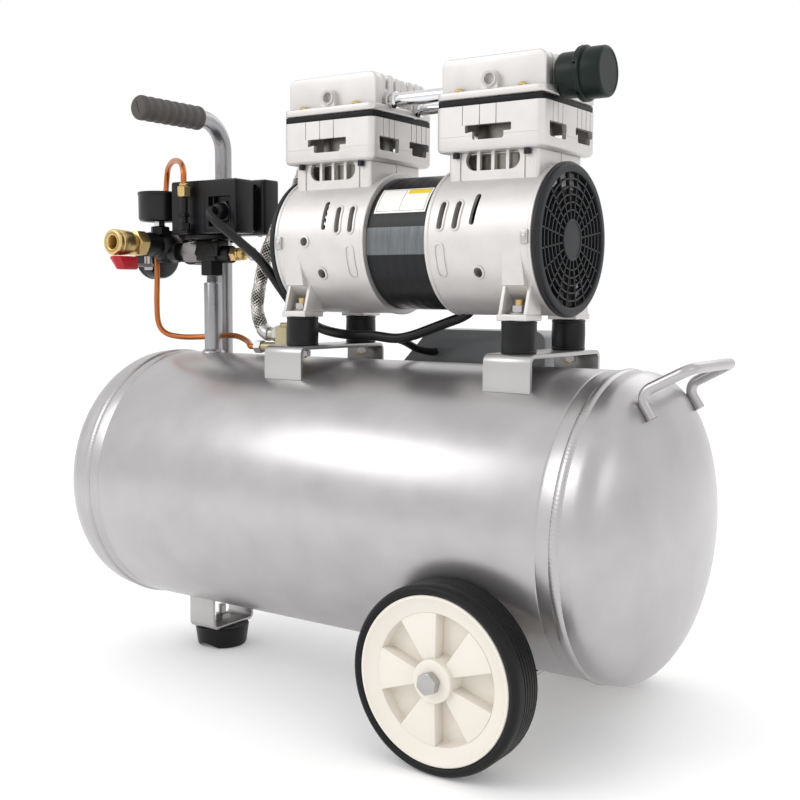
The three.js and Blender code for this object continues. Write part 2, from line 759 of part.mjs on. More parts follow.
const coverFrom = caseEnd + gap;
const coverTo = coverFrom + coverThickness;
function fanCover() {
  const spokes = Array.from({ length: spokeCount / 2 }, (_, i) => {
    const geometry = new THREE.BoxGeometry(coverThickness / 2, spokeWidth, 2 * grilleRadius + 2);
    geometry.rotateX((i / spokeCount) * 2 * Math.PI);
    return solidOf(geometry.translate(coverTo - coverThickness / 4, 0, shaftHeight));
  });
  const rim = ring("x", shaft, coverFrom, coverTo, coverRadius, grilleRadius);
  const middle = drum("x", shaft, coverTo - coverThickness / 2, coverTo, grilleHubRadius, 16);
  return joined(rim, middle, ...spokes);
}
bothSides("fan_cover", fanCover(), blackPlastic);

// ---------------------------------------------------------------- cylinders and heads
const windowHeight = 14;
const windowHalf = 23;
function cylinder() {
  const low = neckTop + gap;
  const halfX = jacketLength / 2;
  const halfY = jacketDepth / 2;
  const jacket = plate("z", roundedRectangle(halfX, halfY, jacketChamfer, headOffset), low, jacketTop);
  const room = plate("z",
    roundedRectangle(halfX - jacketWall, halfY - jacketWall, jacketChamfer - 2, headOffset),
    low + jacketWall, jacketTop + 1);
  const middle = (low + jacketTop) / 2;
  const windows = joined(
    block([headOffset - windowHalf, -halfY - 1, middle - windowHeight / 2],
      [headOffset + windowHalf, halfY + 1, middle + windowHeight / 2]),
    ...[-1, 1].map((sign) =>
      block([headOffset - halfX - 1, sign * windowHalf - windowHeight, middle - windowHeight / 2],
        [headOffset + halfX + 1, sign * windowHalf + windowHeight, middle + windowHeight / 2])),
  );
  const sleeve = drum("z", [headOffset, 0, 0], neckTop - sleeveDrop, jacketTop, sleeveOuter);
  const bore = drum("z", [headOffset, 0, 0], neckTop - sleeveDrop - 1, jacketTop + 1, boreRadius);
  return cut(joined(cut(jacket, room, windows), sleeve), bore);
}
bothSides("cylinder", cylinder(), castAluminium);

const gasketTop = gasketLow + gasketThickness;
bothSides("head_gasket", cut(
  plate("z", roundedRectangle(jacketLength / 2 - gasketInset, jacketDepth / 2 - gasketInset, jacketChamfer,
    headOffset), gasketLow, gasketTop),
  drum("z", [headOffset, 0, 0], gasketLow - 1, gasketTop + 1, boreRadius)), blackRubber);

function cylinderHead() {
  const low = gasketTop + gap;
  const flange = plate("z",
    roundedRectangle(jacketLength / 2, jacketDepth / 2, jacketChamfer, headOffset), low, flangeTop);
  const top = plate("z",
    roundedRectangle(headBlockLength / 2, headBlockHalfY, headCorner, headOffset), low, headTop);
  const port = drum("y", [headOffset, 0, headPortZ], -headBlockHalfY - headPortReach, -headBlockHalfY + 1,
    headPortRadius, smallSegments);
  const portBore = drum("y", [headOffset, 0, headPortZ], -headBlockHalfY - headPortReach - 1,
    -headBlockHalfY + chamberWall + 1, headPortBore, smallSegments);
  const bosses = Object.values(transferRows).map(({ y, z }) =>
    drum("x", [0, y, z], headOffset - jacketLength / 2, headOffset - headBlockLength / 2 + 1,
      tubeBossRadius, smallSegments));
  const chamber = block(
    [headOffset - headBlockLength / 2 + chamberWall, -headBlockHalfY + chamberWall, low - 1],
    [headOffset + headBlockLength / 2 - chamberWall, headBlockHalfY - chamberWall, headTop - chamberWall]);
  const divider = block([headOffset - chamberWall / 2, -headBlockHalfY + 1, low],
    [headOffset + chamberWall / 2, headBlockHalfY - 1, headTop - 1]);
  return cut(joined(cut(joined(flange, top, ...bosses), chamber), divider, port), portBore);
}
bothSides("cylinder_head", cylinderHead(), castAluminium);

// Transfer tubes between the heads, with a collar at each end.
const headInnerFace = headOffset - jacketLength / 2 - gap;
for (const [row, { y, z }] of Object.entries(transferRows)) {
  const shoulder = headInnerFace - transferCollarLength;
  piece(pump, row + "_transfer_tube", turned("x", [0, y, z], [
    [-headInnerFace, 0], [-headInnerFace, transferCollar], [-shoulder, transferCollar],
    [-shoulder, transferRadius], [shoulder, transferRadius], [shoulder, transferCollar],
    [headInnerFace, transferCollar], [headInnerFace, 0],
  ], smallSegments), steel);
}

// Intake filter on the right head.
const headOuterFace = headOffset + headBlockLength / 2 + gap;
const filterProfile = [[headOuterFace, 0]];
let filterAt = headOuterFace;
for (const { radius, length } of [filterNeck, filterBody, filterFlange, filterCap]) {
  filterProfile.push([filterAt, radius], [filterAt + length, radius]);
  filterAt += length;
}
filterProfile.push([filterAt, 0]);
piece(pump, "intake_filter", turned("x", [0, filterY, filterZ], filterProfile), blackPlastic);

// ---------------------------------------------------------------- standpipe, manifold and switch
const pipeAxis = [pipeX, 0, 0];
piece(machine, "standpipe", cut(turned("z", pipeAxis, [
  [tankRadius - 20, pipeBore], [tankRadius - 20, pipeRadius], [pipeTop, pipeRadius],
  [pipeTop + 1, nippleRadius], [nippleTop, nippleRadius], [nippleTop, pipeBore],
], 16), aroundTank), silverPaint);

const manifoldRight = pipeX + manifoldHalfX;
const manifoldLeft = pipeX - manifoldHalfX;
const safetyStart = manifoldRight + safetyPortLength;
piece(machine, "manifold", joined(
  hexagon("z", pipeAxis, nippleTop + gap, manifoldLow + 1, collarFlats),
  block([manifoldLeft, -manifoldHalfY, manifoldLow], [manifoldRight, manifoldHalfY, manifoldTop]),
  drum("x", [0, 0, safetyZ], manifoldRight - 1, safetyStart, safetyPortRadius, smallSegments),
), blackPlastic);

function pressureSwitchBase() {
  const low = manifoldTop + gap;
  const flange = drum("z", pipeAxis, low, low + diaphragmHeight, diaphragmRadius);
  const stem = drum("z", pipeAxis, low, switchLow + 1, diaphragmStem, smallSegments);
  const box = block([switchLeft, switchFront, switchLow - 2], [switchRight, switchSplit, switchTop]);
  const core = block([switchLeft + coreInset, switchSplit - 1, switchLow - 2],
    [switchRight - coreInset, coverFront - gap, switchTop - coreInset]);
  const recess = block([glandX - recessHalf, switchFront - 1, glandZ - recessHalf],
    [glandX + recessHalf, switchFront + recessDepth, glandZ + recessHalf]);
  const gland = drum("y", [glandX, 0, glandZ], switchFront - glandLength, switchFront + recessDepth + 1,
    glandRadius, smallSegments);
  return joined(cut(joined(flange, stem, box, core), recess), gland);
}
piece(machine, "pressure_switch_base", pressureSwitchBase(), blackPlastic);

const coverShell = cut(
  block([switchLeft - coverInset, coverFront, switchLow],
    [switchRight + coverInset, switchBack, switchTop + coverInset]),
  block([switchLeft + coverInset, coverFront - 1, switchLow + coverInset + 2],
    [switchRight - coverInset, switchBack - 2 * coverInset, switchTop - coverInset]));
piece(machine, "pressure_switch_cover", coverShell, blackPlastic);
piece(machine, "switch_lever", joined(
  drum("y", [leverX, 0, leverZ], switchBack + gap, switchBack + gap + leverThickness, leverBossRadius,
    smallSegments),
  block([leverX - leverHalfWidth, switchBack + gap, leverZ - leverLength],
    [leverX + leverHalfWidth, switchBack + gap + leverThickness, leverZ]),
), redVinyl);

// ---------------------------------------------------------------- regulator and gauges
const nutEnd = manifoldLeft - gap;
piece(machine, "regulator_body", joined(
  solidOf(new THREE.SphereGeometry(regulatorBall, 12, 8).translate(outletX, outletY, outletZ)),
  drum("x", [0, outletY, outletZ], regulatorLeft, nutEnd - inletNutLength + 1, regulatorArm, smallSegments),
  hexagon("x", [0, 0, inletNutZ], nutEnd - inletNutLength, nutEnd, inletNutFlats),
  drum("y", [outletX, 0, outletZ], regulatorFront, regulatorBack, regulatorArm, smallSegments),
  drum("z", [outletX, outletY, 0], regulatorLow, regulatorTop, regulatorArm - 2, smallSegments),
  drum("z", [outletX, topGauge.y, 0], regulatorTop - 6, regulatorTop, regulatorArm, smallSegments),
  drum("x", [0, sideGauge.y, sideGauge.z], regulatorLeft, outletX, regulatorArm - 3, smallSegments),
), blackPlastic);

piece(machine, "regulator_knob", drum("y", [outletX, 0, outletZ], regulatorBack + gap,
  regulatorBack + gap + knobLength, knobRadius), blackPlastic);

piece(machine, "outlet_gauge", turned("z", [outletX, topGauge.y, 0], [
  [regulatorTop + gap, 0], [regulatorTop + gap, gaugeStem], [topGauge.low, gaugeStem],
  [topGauge.low, topGauge.radius], [topGauge.high, topGauge.radius],
  [topGauge.high, topGauge.radius - gaugeRim], [topGauge.high - gaugeDialDepth, topGauge.radius - gaugeRim],
  [topGauge.high - gaugeDialDepth, 0],
]), blackPlastic);

piece(machine, "tank_gauge", turned("x", [0, sideGauge.y, sideGauge.z], [
  [regulatorLeft - gap, 0], [regulatorLeft - gap, sideGauge.stem], [sideGauge.inner, sideGauge.stem],
  [sideGauge.inner, sideGauge.radius], [sideGauge.outer, sideGauge.radius],
  [sideGauge.outer, sideGauge.radius - gaugeRim],
  [sideGauge.outer + gaugeDialDepth, sideGauge.radius - gaugeRim],
  [sideGauge.outer + gaugeDialDepth, 0],
]), blackPlastic);

// ---------------------------------------------------------------- outlet coupler and ball valve lever
const couplerAxis = [outletX, 0, couplerZ];
const couplerStart = regulatorFront - gap;
const hexEnd = couplerStart - couplerHexLength;
piece(machine, "coupler_body", cut(
  joined(
    hexagon("y", couplerAxis, hexEnd, couplerStart, couplerFlats),
    drum("y", couplerAxis, couplerEnd, hexEnd + 1, couplerSpigot, 16)),
  drum("y", couplerAxis, couplerEnd - 1, couplerEnd + couplerBoreDepth, couplerBore, 16),
), brass);
const sleeveFront = couplerEnd + sleeveSetback;
piece(machine, "coupler_sleeve", ring("y", couplerAxis, sleeveFront, sleeveFront + sleeveLength,
  sleeveRadius, couplerSpigot + runningGap, 16), brass);

const stemTop = couplerZ - couplerFlats / 2 - 3 * gap;
const leverBarTop = leverBarLow + leverBarThickness;
const gripMiddle = leverBarLow + leverBarThickness / 2;
piece(machine, "ball_valve_lever", joined(
  drum("z", [valveLeverX, valveLeverPivotY, 0], leverBarLow, stemTop, valveStemRadius, smallSegments),
  block([valveLeverX - leverBarWidth / 2, leverGrip.from - 1, leverBarLow],
    [valveLeverX + leverBarWidth / 2, valveLeverPivotY + leverBarWidth / 2, leverBarTop]),
  block([valveLeverX - leverGrip.width / 2, leverGrip.to, gripMiddle - leverGrip.height / 2],
    [valveLeverX + leverGrip.width / 2, leverGrip.from, gripMiddle + leverGrip.height / 2]),
), redVinyl);

// ---------------------------------------------------------------- safety valve and check valve
const safetyAxis = [0, 0, safetyZ];
const safetyFrom = safetyStart + gap;
const safetyHexEnd = safetyFrom + safetyHex.length;
const safetyEnd = safetyHexEnd + safetyBody.length;
piece(machine, "safety_valve", cut(
  joined(
    hexagon("x", safetyAxis, safetyFrom, safetyHexEnd, safetyHex.flats),
    drum("x", safetyAxis, safetyHexEnd - 1, safetyEnd, safetyBody.radius, smallSegments)),
  drum("x", safetyAxis, safetyEnd - safetyPinIn - 1, safetyEnd + 1, safetyPinRadius + runningGap,
    smallSegments),
), brass);
const pinFrom = safetyEnd - safetyPinIn;
const pinTo = pinFrom + safetyPinLength;
const pullRing = new THREE.TorusGeometry(safetyRingRadius, safetyRingWire, 6, 16)
  .rotateX(Math.PI / 2)
  .translate(pinTo + safetyRingRadius - 0.5, 0, safetyZ);
piece(machine, "safety_valve_ring", joined(
  drum("x", safetyAxis, pinFrom, pinTo, safetyPinRadius, smallSegments), solidOf(pullRing)), steel);

const checkAxis = [checkX, 0, 0];
const hosePortEnd = checkX - checkFlats / 2 - hosePort.length;
const unloaderPortEnd = checkX - unloaderPort.length - checkFlats / 2;
piece(machine, "check_valve", cut(joined(
  hexagon("z", checkAxis, tankRadius - 10, checkTop, checkFlats),
  drum("x", [0, 0, hosePort.z], hosePortEnd, checkX, hosePort.radius, smallSegments),
  drum("x", [0, unloaderPort.y, unloaderPort.z], unloaderPortEnd, checkX, unloaderPort.radius, smallSegments),
), aroundTank), brass);

// ---------------------------------------------------------------- copper tube, hose and cables
const { x: nutX, y: nutY } = unloaderNut;
const copperPath = smoothPath([
  [nutX, nutY, unloaderNut.top - 1], [nutX, nutY, 306], [-212.5, -37, 314], [-218, -33, 321], [-231, -24, 327],
  [-250, -12, 330.5], [-268, 0, 330], [-281, 8, 325], [-286, 11, 315], [-287, 10, 300], [-287, 4, 272],
  [-287.5, -4, 242], [-286, -5, 211], [-287, -5, 180], [-285, -5, 160], [-276, -4, 149], [-260, 2, 145],
  [-238, 10, 145], [-212, 15.5, 147], [-188, 14, 147], [-166, 6, 142.5], [-153, -4, 138.3], [-149, -5, 138],
  [unloaderPortEnd - gap, unloaderPort.y, unloaderPort.z],
]);
piece(machine, "unloader_tube", joined(
  along(copperPath, copperRadius, 8, 48),
  drum("z", [nutX, nutY, 0], unloaderNut.low, unloaderNut.nutLow + 1, unloaderNut.stem, smallSegments),
  hexagon("z", [nutX, nutY, 0], unloaderNut.nutLow, unloaderNut.top, unloaderNut.flats),
), copper);

const headLeftFace = pumpX - headOuterFace;
const { y: fittingY, z: fittingZ, length: fittingLength } = hoseFitting;
const hosePath = smoothPath([
  [headLeftFace - 2 * crimpRadius, fittingY, fittingZ], [-88, 10, 354], [-91, 10, 322], [-103, 8, 290],
  [-120, 4, 262],
  [-132, 0, 236], [-140, 0, 211], [-146, 0, 188], [-146, 0, 172], [-141, 0, 159],
  [-134, 0, 152], [-129, 0, hosePort.z], [hosePortEnd - gap, 0, hosePort.z],
]);
piece(machine, "braided_hose", joined(
  along(hosePath, hoseRadius, 8, 30),
  drum("x", [0, fittingY, fittingZ], headLeftFace - fittingLength, headLeftFace, crimpRadius, smallSegments),
), steel);

const cableStart = switchFront - glandLength - gap;
const cablePath = smoothPath([
  [glandX, cableStart, glandZ], [glandX, cableStart - 4, glandZ], [-166, -47, 269], [-156, -47, 261],
  [-134, -41, 243],
  [-109, -35, 222], [-93, -22, 193], [-85, -6, 171], [-70, 2, 159.5], [-45, -6, 155], [-20, -10, 153],
  [5, -10, 153], [32, -10, 151], [50, -9, 154], [70, -6, 161], [88, -4, 167.5],
]);
const boxLeadPath = smoothPath([
  [32, -10, 151], [31, 8, 147], [30, 30, 140], [30, boxFront - 8, 136], [30, boxFront - gap, 136],
]);
piece(machine, "motor_cable", joined(
  along(cablePath, cableRadius, 8, 28), along(boxLeadPath, leadRadius, 8, 8)), blackRubber);

function capacitorBox() {
  const outline = new THREE.Shape();
  outline.moveTo(boxLeft, 0);
  outline.lineTo(boxRight, 0);
  outline.lineTo(boxRight, boxTop - boxCorner);
  outline.absarc(boxRight - boxCorner, boxTop - boxCorner, boxCorner, 0, Math.PI / 2);
  outline.lineTo(boxLeftTop, boxTop);
  outline.lineTo(boxLeft, boxLeftHeight);
  return cut(plate("y", outline, boxFront, boxBack), aroundTank);
}
piece(machine, "capacitor_box", capacitorBox(), greyPaint);

// ---------------------------------------------------------------- the whole machine, standing on z = 0
const boxMiddleX = (liftReach + rodRadius - tankTip) / 2;
machine.position.set(-boxMiddleX, 0, groundDepth);
const compressor = new THREE.Group();
compressor.add(machine);
export default compressor;
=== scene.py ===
"""A portable twin-cylinder air compressor on a wheeled receiver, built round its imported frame.
Lengths are in millimetres in the row frame; make_piece turns them to metres."""
import math

import bmesh
import bpy
from mathutils import Matrix, Vector


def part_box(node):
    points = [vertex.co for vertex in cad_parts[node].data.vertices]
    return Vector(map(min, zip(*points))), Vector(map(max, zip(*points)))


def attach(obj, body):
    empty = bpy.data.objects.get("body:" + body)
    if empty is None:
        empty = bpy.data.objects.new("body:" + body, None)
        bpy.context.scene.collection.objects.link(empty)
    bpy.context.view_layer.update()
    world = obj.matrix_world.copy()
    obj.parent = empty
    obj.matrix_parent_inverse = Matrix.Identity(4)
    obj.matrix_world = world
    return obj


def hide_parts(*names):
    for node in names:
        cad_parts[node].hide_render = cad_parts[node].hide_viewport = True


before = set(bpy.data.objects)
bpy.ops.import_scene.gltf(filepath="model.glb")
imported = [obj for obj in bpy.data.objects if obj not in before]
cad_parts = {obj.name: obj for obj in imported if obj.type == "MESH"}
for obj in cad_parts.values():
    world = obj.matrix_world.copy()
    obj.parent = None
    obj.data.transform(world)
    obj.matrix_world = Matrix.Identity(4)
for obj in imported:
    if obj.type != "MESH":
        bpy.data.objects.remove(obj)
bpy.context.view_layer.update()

# ------------------------------------------------------------------ camera
# A short telephoto lens from the front right, a little above the pump and tilted down, with the slight
# roll of a hand-set tripod.
camera_place = Vector((0.62585, -0.8789, 0.3723))
turn_left, tilt_down, roll = (math.radians(a) for a in (34.389, 5.236, 0.35))
lens_mm, sensor_mm = 51.13, 36.0

forward = Vector((-math.sin(turn_left) * math.cos(tilt_down),
                  math.cos(turn_left) * math.cos(tilt_down), -math.sin(tilt_down)))
level = Vector((math.cos(turn_left), math.sin(turn_left), 0.0))
upright = level.cross(forward)
right = math.cos(roll) * level + math.sin(roll) * upright
up = math.cos(roll) * upright - math.sin(roll) * level
camera_data = bpy.data.cameras.new("camera")
camera_data.lens = lens_mm
camera_data.sensor_width = sensor_mm
camera = bpy.data.objects.new("camera", camera_data)
camera.matrix_world = Matrix.Translation(camera_place) @ Matrix((right, up, -forward)).transposed().to_4x4()
bpy.context.scene.collection.objects.link(camera)
bpy.context.scene.camera = camera
bpy.context.scene.view_settings.view_transform = "Standard"

# ------------------------------------------------------------------ studio
# A pale matt floor under a white sky, and three soft boxes. The floor gives off a little light of its own, so
# that it meets the sky without a line.


def srgb(code):
    """A #RRGGBB colour as linear red, green, blue and alpha."""
    parts = [int(code[i:i + 2], 16) / 255 for i in (1, 3, 5)]
    return [c / 12.92 if c <= 0.04045 else ((c + 0.055) / 1.055) ** 2.4 for c in parts] + [1.0]


def add_node(material, kind, settings, **links):
    """A node with its settings, a lower-case name for a property and any other for a socket, and its links."""
    node = material.node_tree.nodes.new(kind)
    for name, value in settings.items():
        if name[0].islower():
            setattr(node, name, value)
        else:
            node.inputs[name].default_value = value
    for name, source in links.items():
        socket = int(name[1:]) if name[0] == "_" else name.replace("_", " ")
        material.node_tree.links.new(source, node.inputs[socket])
    return node


def new_finish(name, colour, metallic, roughness, **sockets):
    """A material with one Principled shader."""
    material = bpy.data.materials.new(name)
    material.use_nodes = True
    shader = material.node_tree.nodes["Principled BSDF"]
    shader.inputs["Base Color"].default_value = srgb(colour)
    shader.inputs["Metallic"].default_value = metallic
    shader.inputs["Roughness"].default_value = roughness
    for socket, value in sockets.items():
        shader.inputs[socket.replace("_", " ")].default_value = value
    return material


def grain(material, grain_mm, depth_mm, dark, light, rough_low, rough_high, stretch=(1, 1, 1), detail=3):
    """Noise of one real grain size that raises the surface and shifts its colour and roughness a little."""
    shader = material.node_tree.nodes["Principled BSDF"]
    place = add_node(material, "ShaderNodeTexCoord", {})
    stretched = add_node(material, "ShaderNodeMapping", {"Scale": stretch}, Vector=place.outputs["Object"])
    noise = add_node(material, "ShaderNodeTexNoise", {"Scale": 1000 / grain_mm, "Detail": detail},
                     Vector=stretched.outputs[0])
    bump = add_node(material, "ShaderNodeBump", {"Strength": 1.0, "Distance": depth_mm / 1000},
                    Height=noise.outputs["Fac"])
    broad = add_node(material, "ShaderNodeTexNoise", {"Scale": 1000 / (grain_mm * 40), "Detail": 4},
                     Vector=stretched.outputs[0])
    tone = add_node(material, "ShaderNodeMix", {"data_type": "RGBA"}, Factor=broad.outputs["Fac"])
    tone.inputs["A"].default_value = srgb(dark)
    tone.inputs["B"].default_value = srgb(light)
    rough = add_node(material, "ShaderNodeMapRange", {"To Min": rough_low, "To Max": rough_high},
                     Value=broad.outputs["Fac"])
    links = material.node_tree.links
    links.new(bump.outputs[0], shader.inputs["Normal"])
    links.new(tone.outputs["Result"], shader.inputs["Base Color"])
    links.new(rough.outputs[0], shader.inputs["Roughness"])
    return material


sweep_finish = new_finish("matt_paper_sweep", "#FCFCFC", 0.0, 0.9, Emission_Color=srgb("#FFFFFF"),
                          Emission_Strength=0.1)
floor_data = bpy.data.meshes.new("floor")
floor_shape = bmesh.new()
bmesh.ops.create_grid(floor_shape, x_segments=1, y_segments=1, size=40.0)
floor_shape.to_mesh(floor_data)
floor_shape.free()
floor_data.materials.append(sweep_finish)
floor = bpy.data.objects.new("floor", floor_data)
bpy.context.scene.collection.objects.link(floor)

world = bpy.data.worlds.new("studio_air")
world.use_nodes = True
world.node_tree.nodes["Background"].inputs["Color"].default_value = srgb("#FFFFFF")
world.node_tree.nodes["Background"].inputs["Strength"].default_value = 1.0
bpy.context.scene.world = world

soft_boxes = [
    ("key_box", (-1.3, -1.9, 1.9), 1.5, 18.0),
    ("side_box", (2.3, -0.7, 1.3), 1.1, 3.0),
    ("back_box", (0.3, 2.2, 2.0), 1.8, 9.0),
]
for name, place, size, power in soft_boxes:
    light_data = bpy.data.lights.new(name, "AREA")
    light_data.shape = "RECTANGLE"
    light_data.size = size
    light_data.size_y = size * 0.8
    light_data.energy = power
    light = bpy.data.objects.new(name, light_data)
    light.location = place
    light.rotation_euler = (Vector((0, 0, 0.3)) - Vector(place)).to_track_quat("-Z", "Y").to_euler()
    bpy.context.scene.collection.objects.link(light)

# ------------------------------------------------------------------ receiver
# A rolled steel barrel with two pressed ends, welded round both seams, then blasted and sprayed with silver
# metallic enamel: a soft broad shine with a fine sparkle and faint spray mottle.


def span(*nodes):
    """Lowest and highest corners, in millimetres, of the box round some frame nodes."""
    boxes = [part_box(node) for node in nodes]
    low = Vector([min(box[0][i] for box in boxes) for i in range(3)])
    high = Vector([max(box[1][i] for box in boxes) for i in range(3)])
    return low * 1000, high * 1000


AXIS_TURN = {"x": Matrix.Rotation(math.pi / 2, 4, "Y"), "y": Matrix.Rotation(-math.pi / 2, 4, "X"),
             "z": Matrix.Identity(4)}


def spun(axis, centre, profile, steps=96):
    """A profile of (along, radius) points turned round an axis through centre."""
    shape = bmesh.new()
    points = [shape.verts.new((radius, 0, along)) for along, radius in profile]
    edges = [shape.edges.new(pair) for pair in zip(points, points[1:])]
    if profile[0][1] > 0:
        edges.append(shape.edges.new((points[-1], points[0])))
    bmesh.ops.spin(shape, geom=points + edges, cent=(0, 0, 0), axis=(0, 0, 1), angle=2 * math.pi,
                   steps=steps, use_merge=True)
    bmesh.ops.remove_doubles(shape, verts=shape.verts, dist=1e-4)
    bmesh.ops.recalc_face_normals(shape, faces=shape.faces)
    shape.transform(Matrix.Translation(centre) @ AXIS_TURN[axis])
    return shape


def together(*shapes):
    """Several shapes as one."""
    whole = bmesh.new()
    for shape in shapes:
        part = bpy.data.meshes.new("part")
        shape.to_mesh(part)
        whole.from_mesh(part)
        shape.free()
        bpy.data.meshes.remove(part)
    return whole


def make_piece(name, shape, finish, body, slot, *replaced, smooth=35):
    """Turns a shape in millimetres into a piece that rides on a body and stands for frame nodes."""
    shape.transform(Matrix.Scale(0.001, 4))
    mesh = bpy.data.meshes.new(name)
    shape.to_mesh(mesh)
    shape.free()
    mesh.materials.append(finish)
    mesh.shade_smooth()
    mesh.set_sharp_from_angle(angle=math.radians(smooth))
    piece = bpy.data.objects.new(name, mesh)
    bpy.context.scene.collection.objects.link(piece)
    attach(piece, body)
    if replaced:
        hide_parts(*replaced)
    return piece


silver_enamel = grain(new_finish("silver_metallic_enamel", "#B3B0B1", 0.88, 0.31, Coat_Weight=0.15,
                                 Coat_Roughness=0.22),
                      0.9, 0.012, "#A8A5A6", "#BFBDBE", 0.28, 0.37)

barrel_low, barrel_high = span("tank_barrel")
end_low, end_high = span("tank_left_end", "tank_right_end")
bead_height = 2.0
tank_radius = barrel_high.y - bead_height
tank_z = barrel_high.z - barrel_high.y
tank_x = (barrel_low.x + barrel_high.x) / 2
seam = (barrel_high.x - barrel_low.x) / 2
tip = (end_high.x - end_low.x) / 2
skirt, wall = 12.0, 3.0
dish = tip - seam - skirt
tank_centre = (tank_x, 0, tank_z)


def dished_end(side):
    """One pressed end: a short skirt and a half-ellipse, with a rolled edge at the seam."""
    curve = [(seam + skirt + dish * math.sin(a), tank_radius * math.cos(a))
             for a in (math.radians(90 * i / 26) for i in range(26))] + [(tip, 0)]
    inside = [(seam + 0.3, tank_radius - wall), (seam + 0.3, tank_radius + 0.2),
              (seam + 4.0, tank_radius + 0.2)]
    inner = [(seam + skirt + (dish - wall) * math.sin(a), (tank_radius - wall) * math.cos(a))
             for a in (math.radians(90 * i / 12) for i in range(12))] + [(tip - wall, 0)]
    profile = inner[::-1] + inside + curve
    return spun("x", tank_centre, [(side * along, radius) for along, radius in profile], 144)


def weld_bead(along):
    """A seam's weld: a low ridge whose crest ripples once for each puddle."""
    puddle_mm, half_width, ripple = 3.4, 4.4, 0.13
    puddles = round(2 * math.pi * tank_radius / puddle_mm)
    section = [(-half_width, -0.6), (-half_width, 0.1), (-2.6, 1.1), (0, bead_height - 0.3), (2.6, 1.1),
               (half_width, 0.1), (half_width, -0.6)]
    shape = spun("x", (0, 0, 0), [(x, tank_radius + height) for x, height in section], 3 * puddles)
    for vertex in shape.verts:
        angle = math.atan2(vertex.co.y, vertex.co.z)
        lift = ripple * math.cos(angle * puddles + 0.5 * vertex.co.x)
        if math.hypot(vertex.co.y, vertex.co.z) > tank_radius + 0.5:
            vertex.co.yz *= 1 + lift / tank_radius
    shape.transform(Matrix.Translation((tank_x + along, 0, tank_z)))
    return shape


barrel = spun("x", tank_centre, [
    (-seam, tank_radius - wall), (-seam, tank_radius), (-seam + 14.5, tank_radius),
    (-seam + 16, tank_radius - 0.5),
    (-seam + 17.5, tank_radius), (seam - 17.5, tank_radius), (seam - 16, tank_radius - 0.5),
    (seam - 14.5, tank_radius), (seam, tank_radius), (seam, tank_radius - wall)], 144)
make_piece("receiver_barrel", barrel, silver_enamel, "machine", "tank_paint", "tank_barrel")
make_piece("receiver_left_end", dished_end(-1), silver_enamel, "machine", "tank_paint", "tank_left_end")
make_piece("receiver_right_end", dished_end(1), silver_enamel, "machine", "tank_paint", "tank_right_end")
drain_boss_low, drain_boss_high = 44.5, 53.0
drain_boss = spun("z", (tank_x, 0, 0), [
    (drain_boss_low, 5.4), (drain_boss_low, 10.4), (drain_boss_low + 0.6, 11.0),
    (drain_boss_high - 3.4, 11.0),
    (drain_boss_high - 2.2, 12.0), (drain_boss_high - 1.0, 14.0), (drain_boss_high, 14.6),
    (drain_boss_high, 5.4)], 64)
make_piece("drain_boss", drain_boss, silver_enamel, "machine", "tank_paint")
make_piece("seam_welds", together(weld_bead(-seam), weld_bead(seam)), silver_enamel, "machine", "tank_paint",
           smooth=60)

# ------------------------------------------------------------------ drain cock
# A brass wing cock screwed into a welded boss under the lowest point of the receiver, to let water out.
# Turned and milled from brass bar, and left bare.


def carve(shape, cutter, operation="DIFFERENCE"):
    """A shape cut by, or kept to, another, with a boolean modifier that is applied."""
    holders = []
    for part in (shape, cutter):
        mesh = bpy.data.meshes.new("part")
        part.to_mesh(mesh)
        part.free()
        holder = bpy.data.objects.new("part", mesh)
        bpy.context.scene.collection.objects.link(holder)
        holders.append(holder)
    modifier = holders[0].modifiers.new("cut", "BOOLEAN")
    modifier.operation = operation
    modifier.solver = "EXACT"
    modifier.use_self = True
    modifier.object = holders[1]
    bpy.context.view_layer.update()
    result = bmesh.new()
    result.from_mesh(holders[0].evaluated_get(bpy.context.evaluated_depsgraph_get()).data)
    for holder in holders:
        mesh = holder.data
        bpy.data.objects.remove(holder)
        bpy.data.meshes.remove(mesh)
    bmesh.ops.remove_doubles(result, verts=result.verts, dist=1e-4)
    bmesh.ops.dissolve_degenerate(result, edges=result.edges, dist=1e-4)
    return result


def slab(outline, axis, low, high):
    """A flat outline pushed along an axis: its points are (y, z), (x, z) or (x, y)."""
    place = {"x": lambda a, b: (low, a, b), "y": lambda a, b: (a, low, b), "z": lambda a,
             b: (a, b, low)}[axis]
    shape = bmesh.new()
    face = shape.faces.new([shape.verts.new(place(point[0], point[1])) for point in outline])
    grown = bmesh.ops.extrude_face_region(shape, geom=[face])["geom"]
    push = Vector([high - low if name == axis else 0 for name in "xyz"])
    bmesh.ops.translate(shape, verts=[v for v in grown if isinstance(v, bmesh.types.BMVert)], vec=push)
    bmesh.ops.recalc_face_normals(shape, faces=shape.faces)
    return shape


def rounded(shape, width, steps=2, limit=40):
    """The same shape with its edges sharper than a limit rounded over."""
    edges = [e for e in shape.edges if e.is_manifold and e.calc_face_angle(0) > math.radians(limit)]
    bmesh.ops.bevel(shape, geom=edges, offset=width, offset_type="OFFSET", segments=steps, profile=0.5,
                    affect="EDGES", clamp_overlap=True, material=-1)
    return shape


def ring_of(count, radius, centre=(0, 0), first=0.0):
    """Evenly spaced points round a circle, the first at an angle in degrees."""
    turn = [math.radians(first + 360 * i / count) for i in range(count)]
    return [(centre[0] + radius * math.cos(a), centre[1] + radius * math.sin(a)) for a in turn]


def drum(axis, centre, low, high, radius, edge=0.0, steps=48):
    """A solid cylinder from low to high along an axis, its two rims eased by edge."""
    return spun(axis, centre, [(low, 0), (low, radius - edge), (low + edge, radius), (high - edge, radius),
                               (high, radius - edge), (high, 0)], steps)


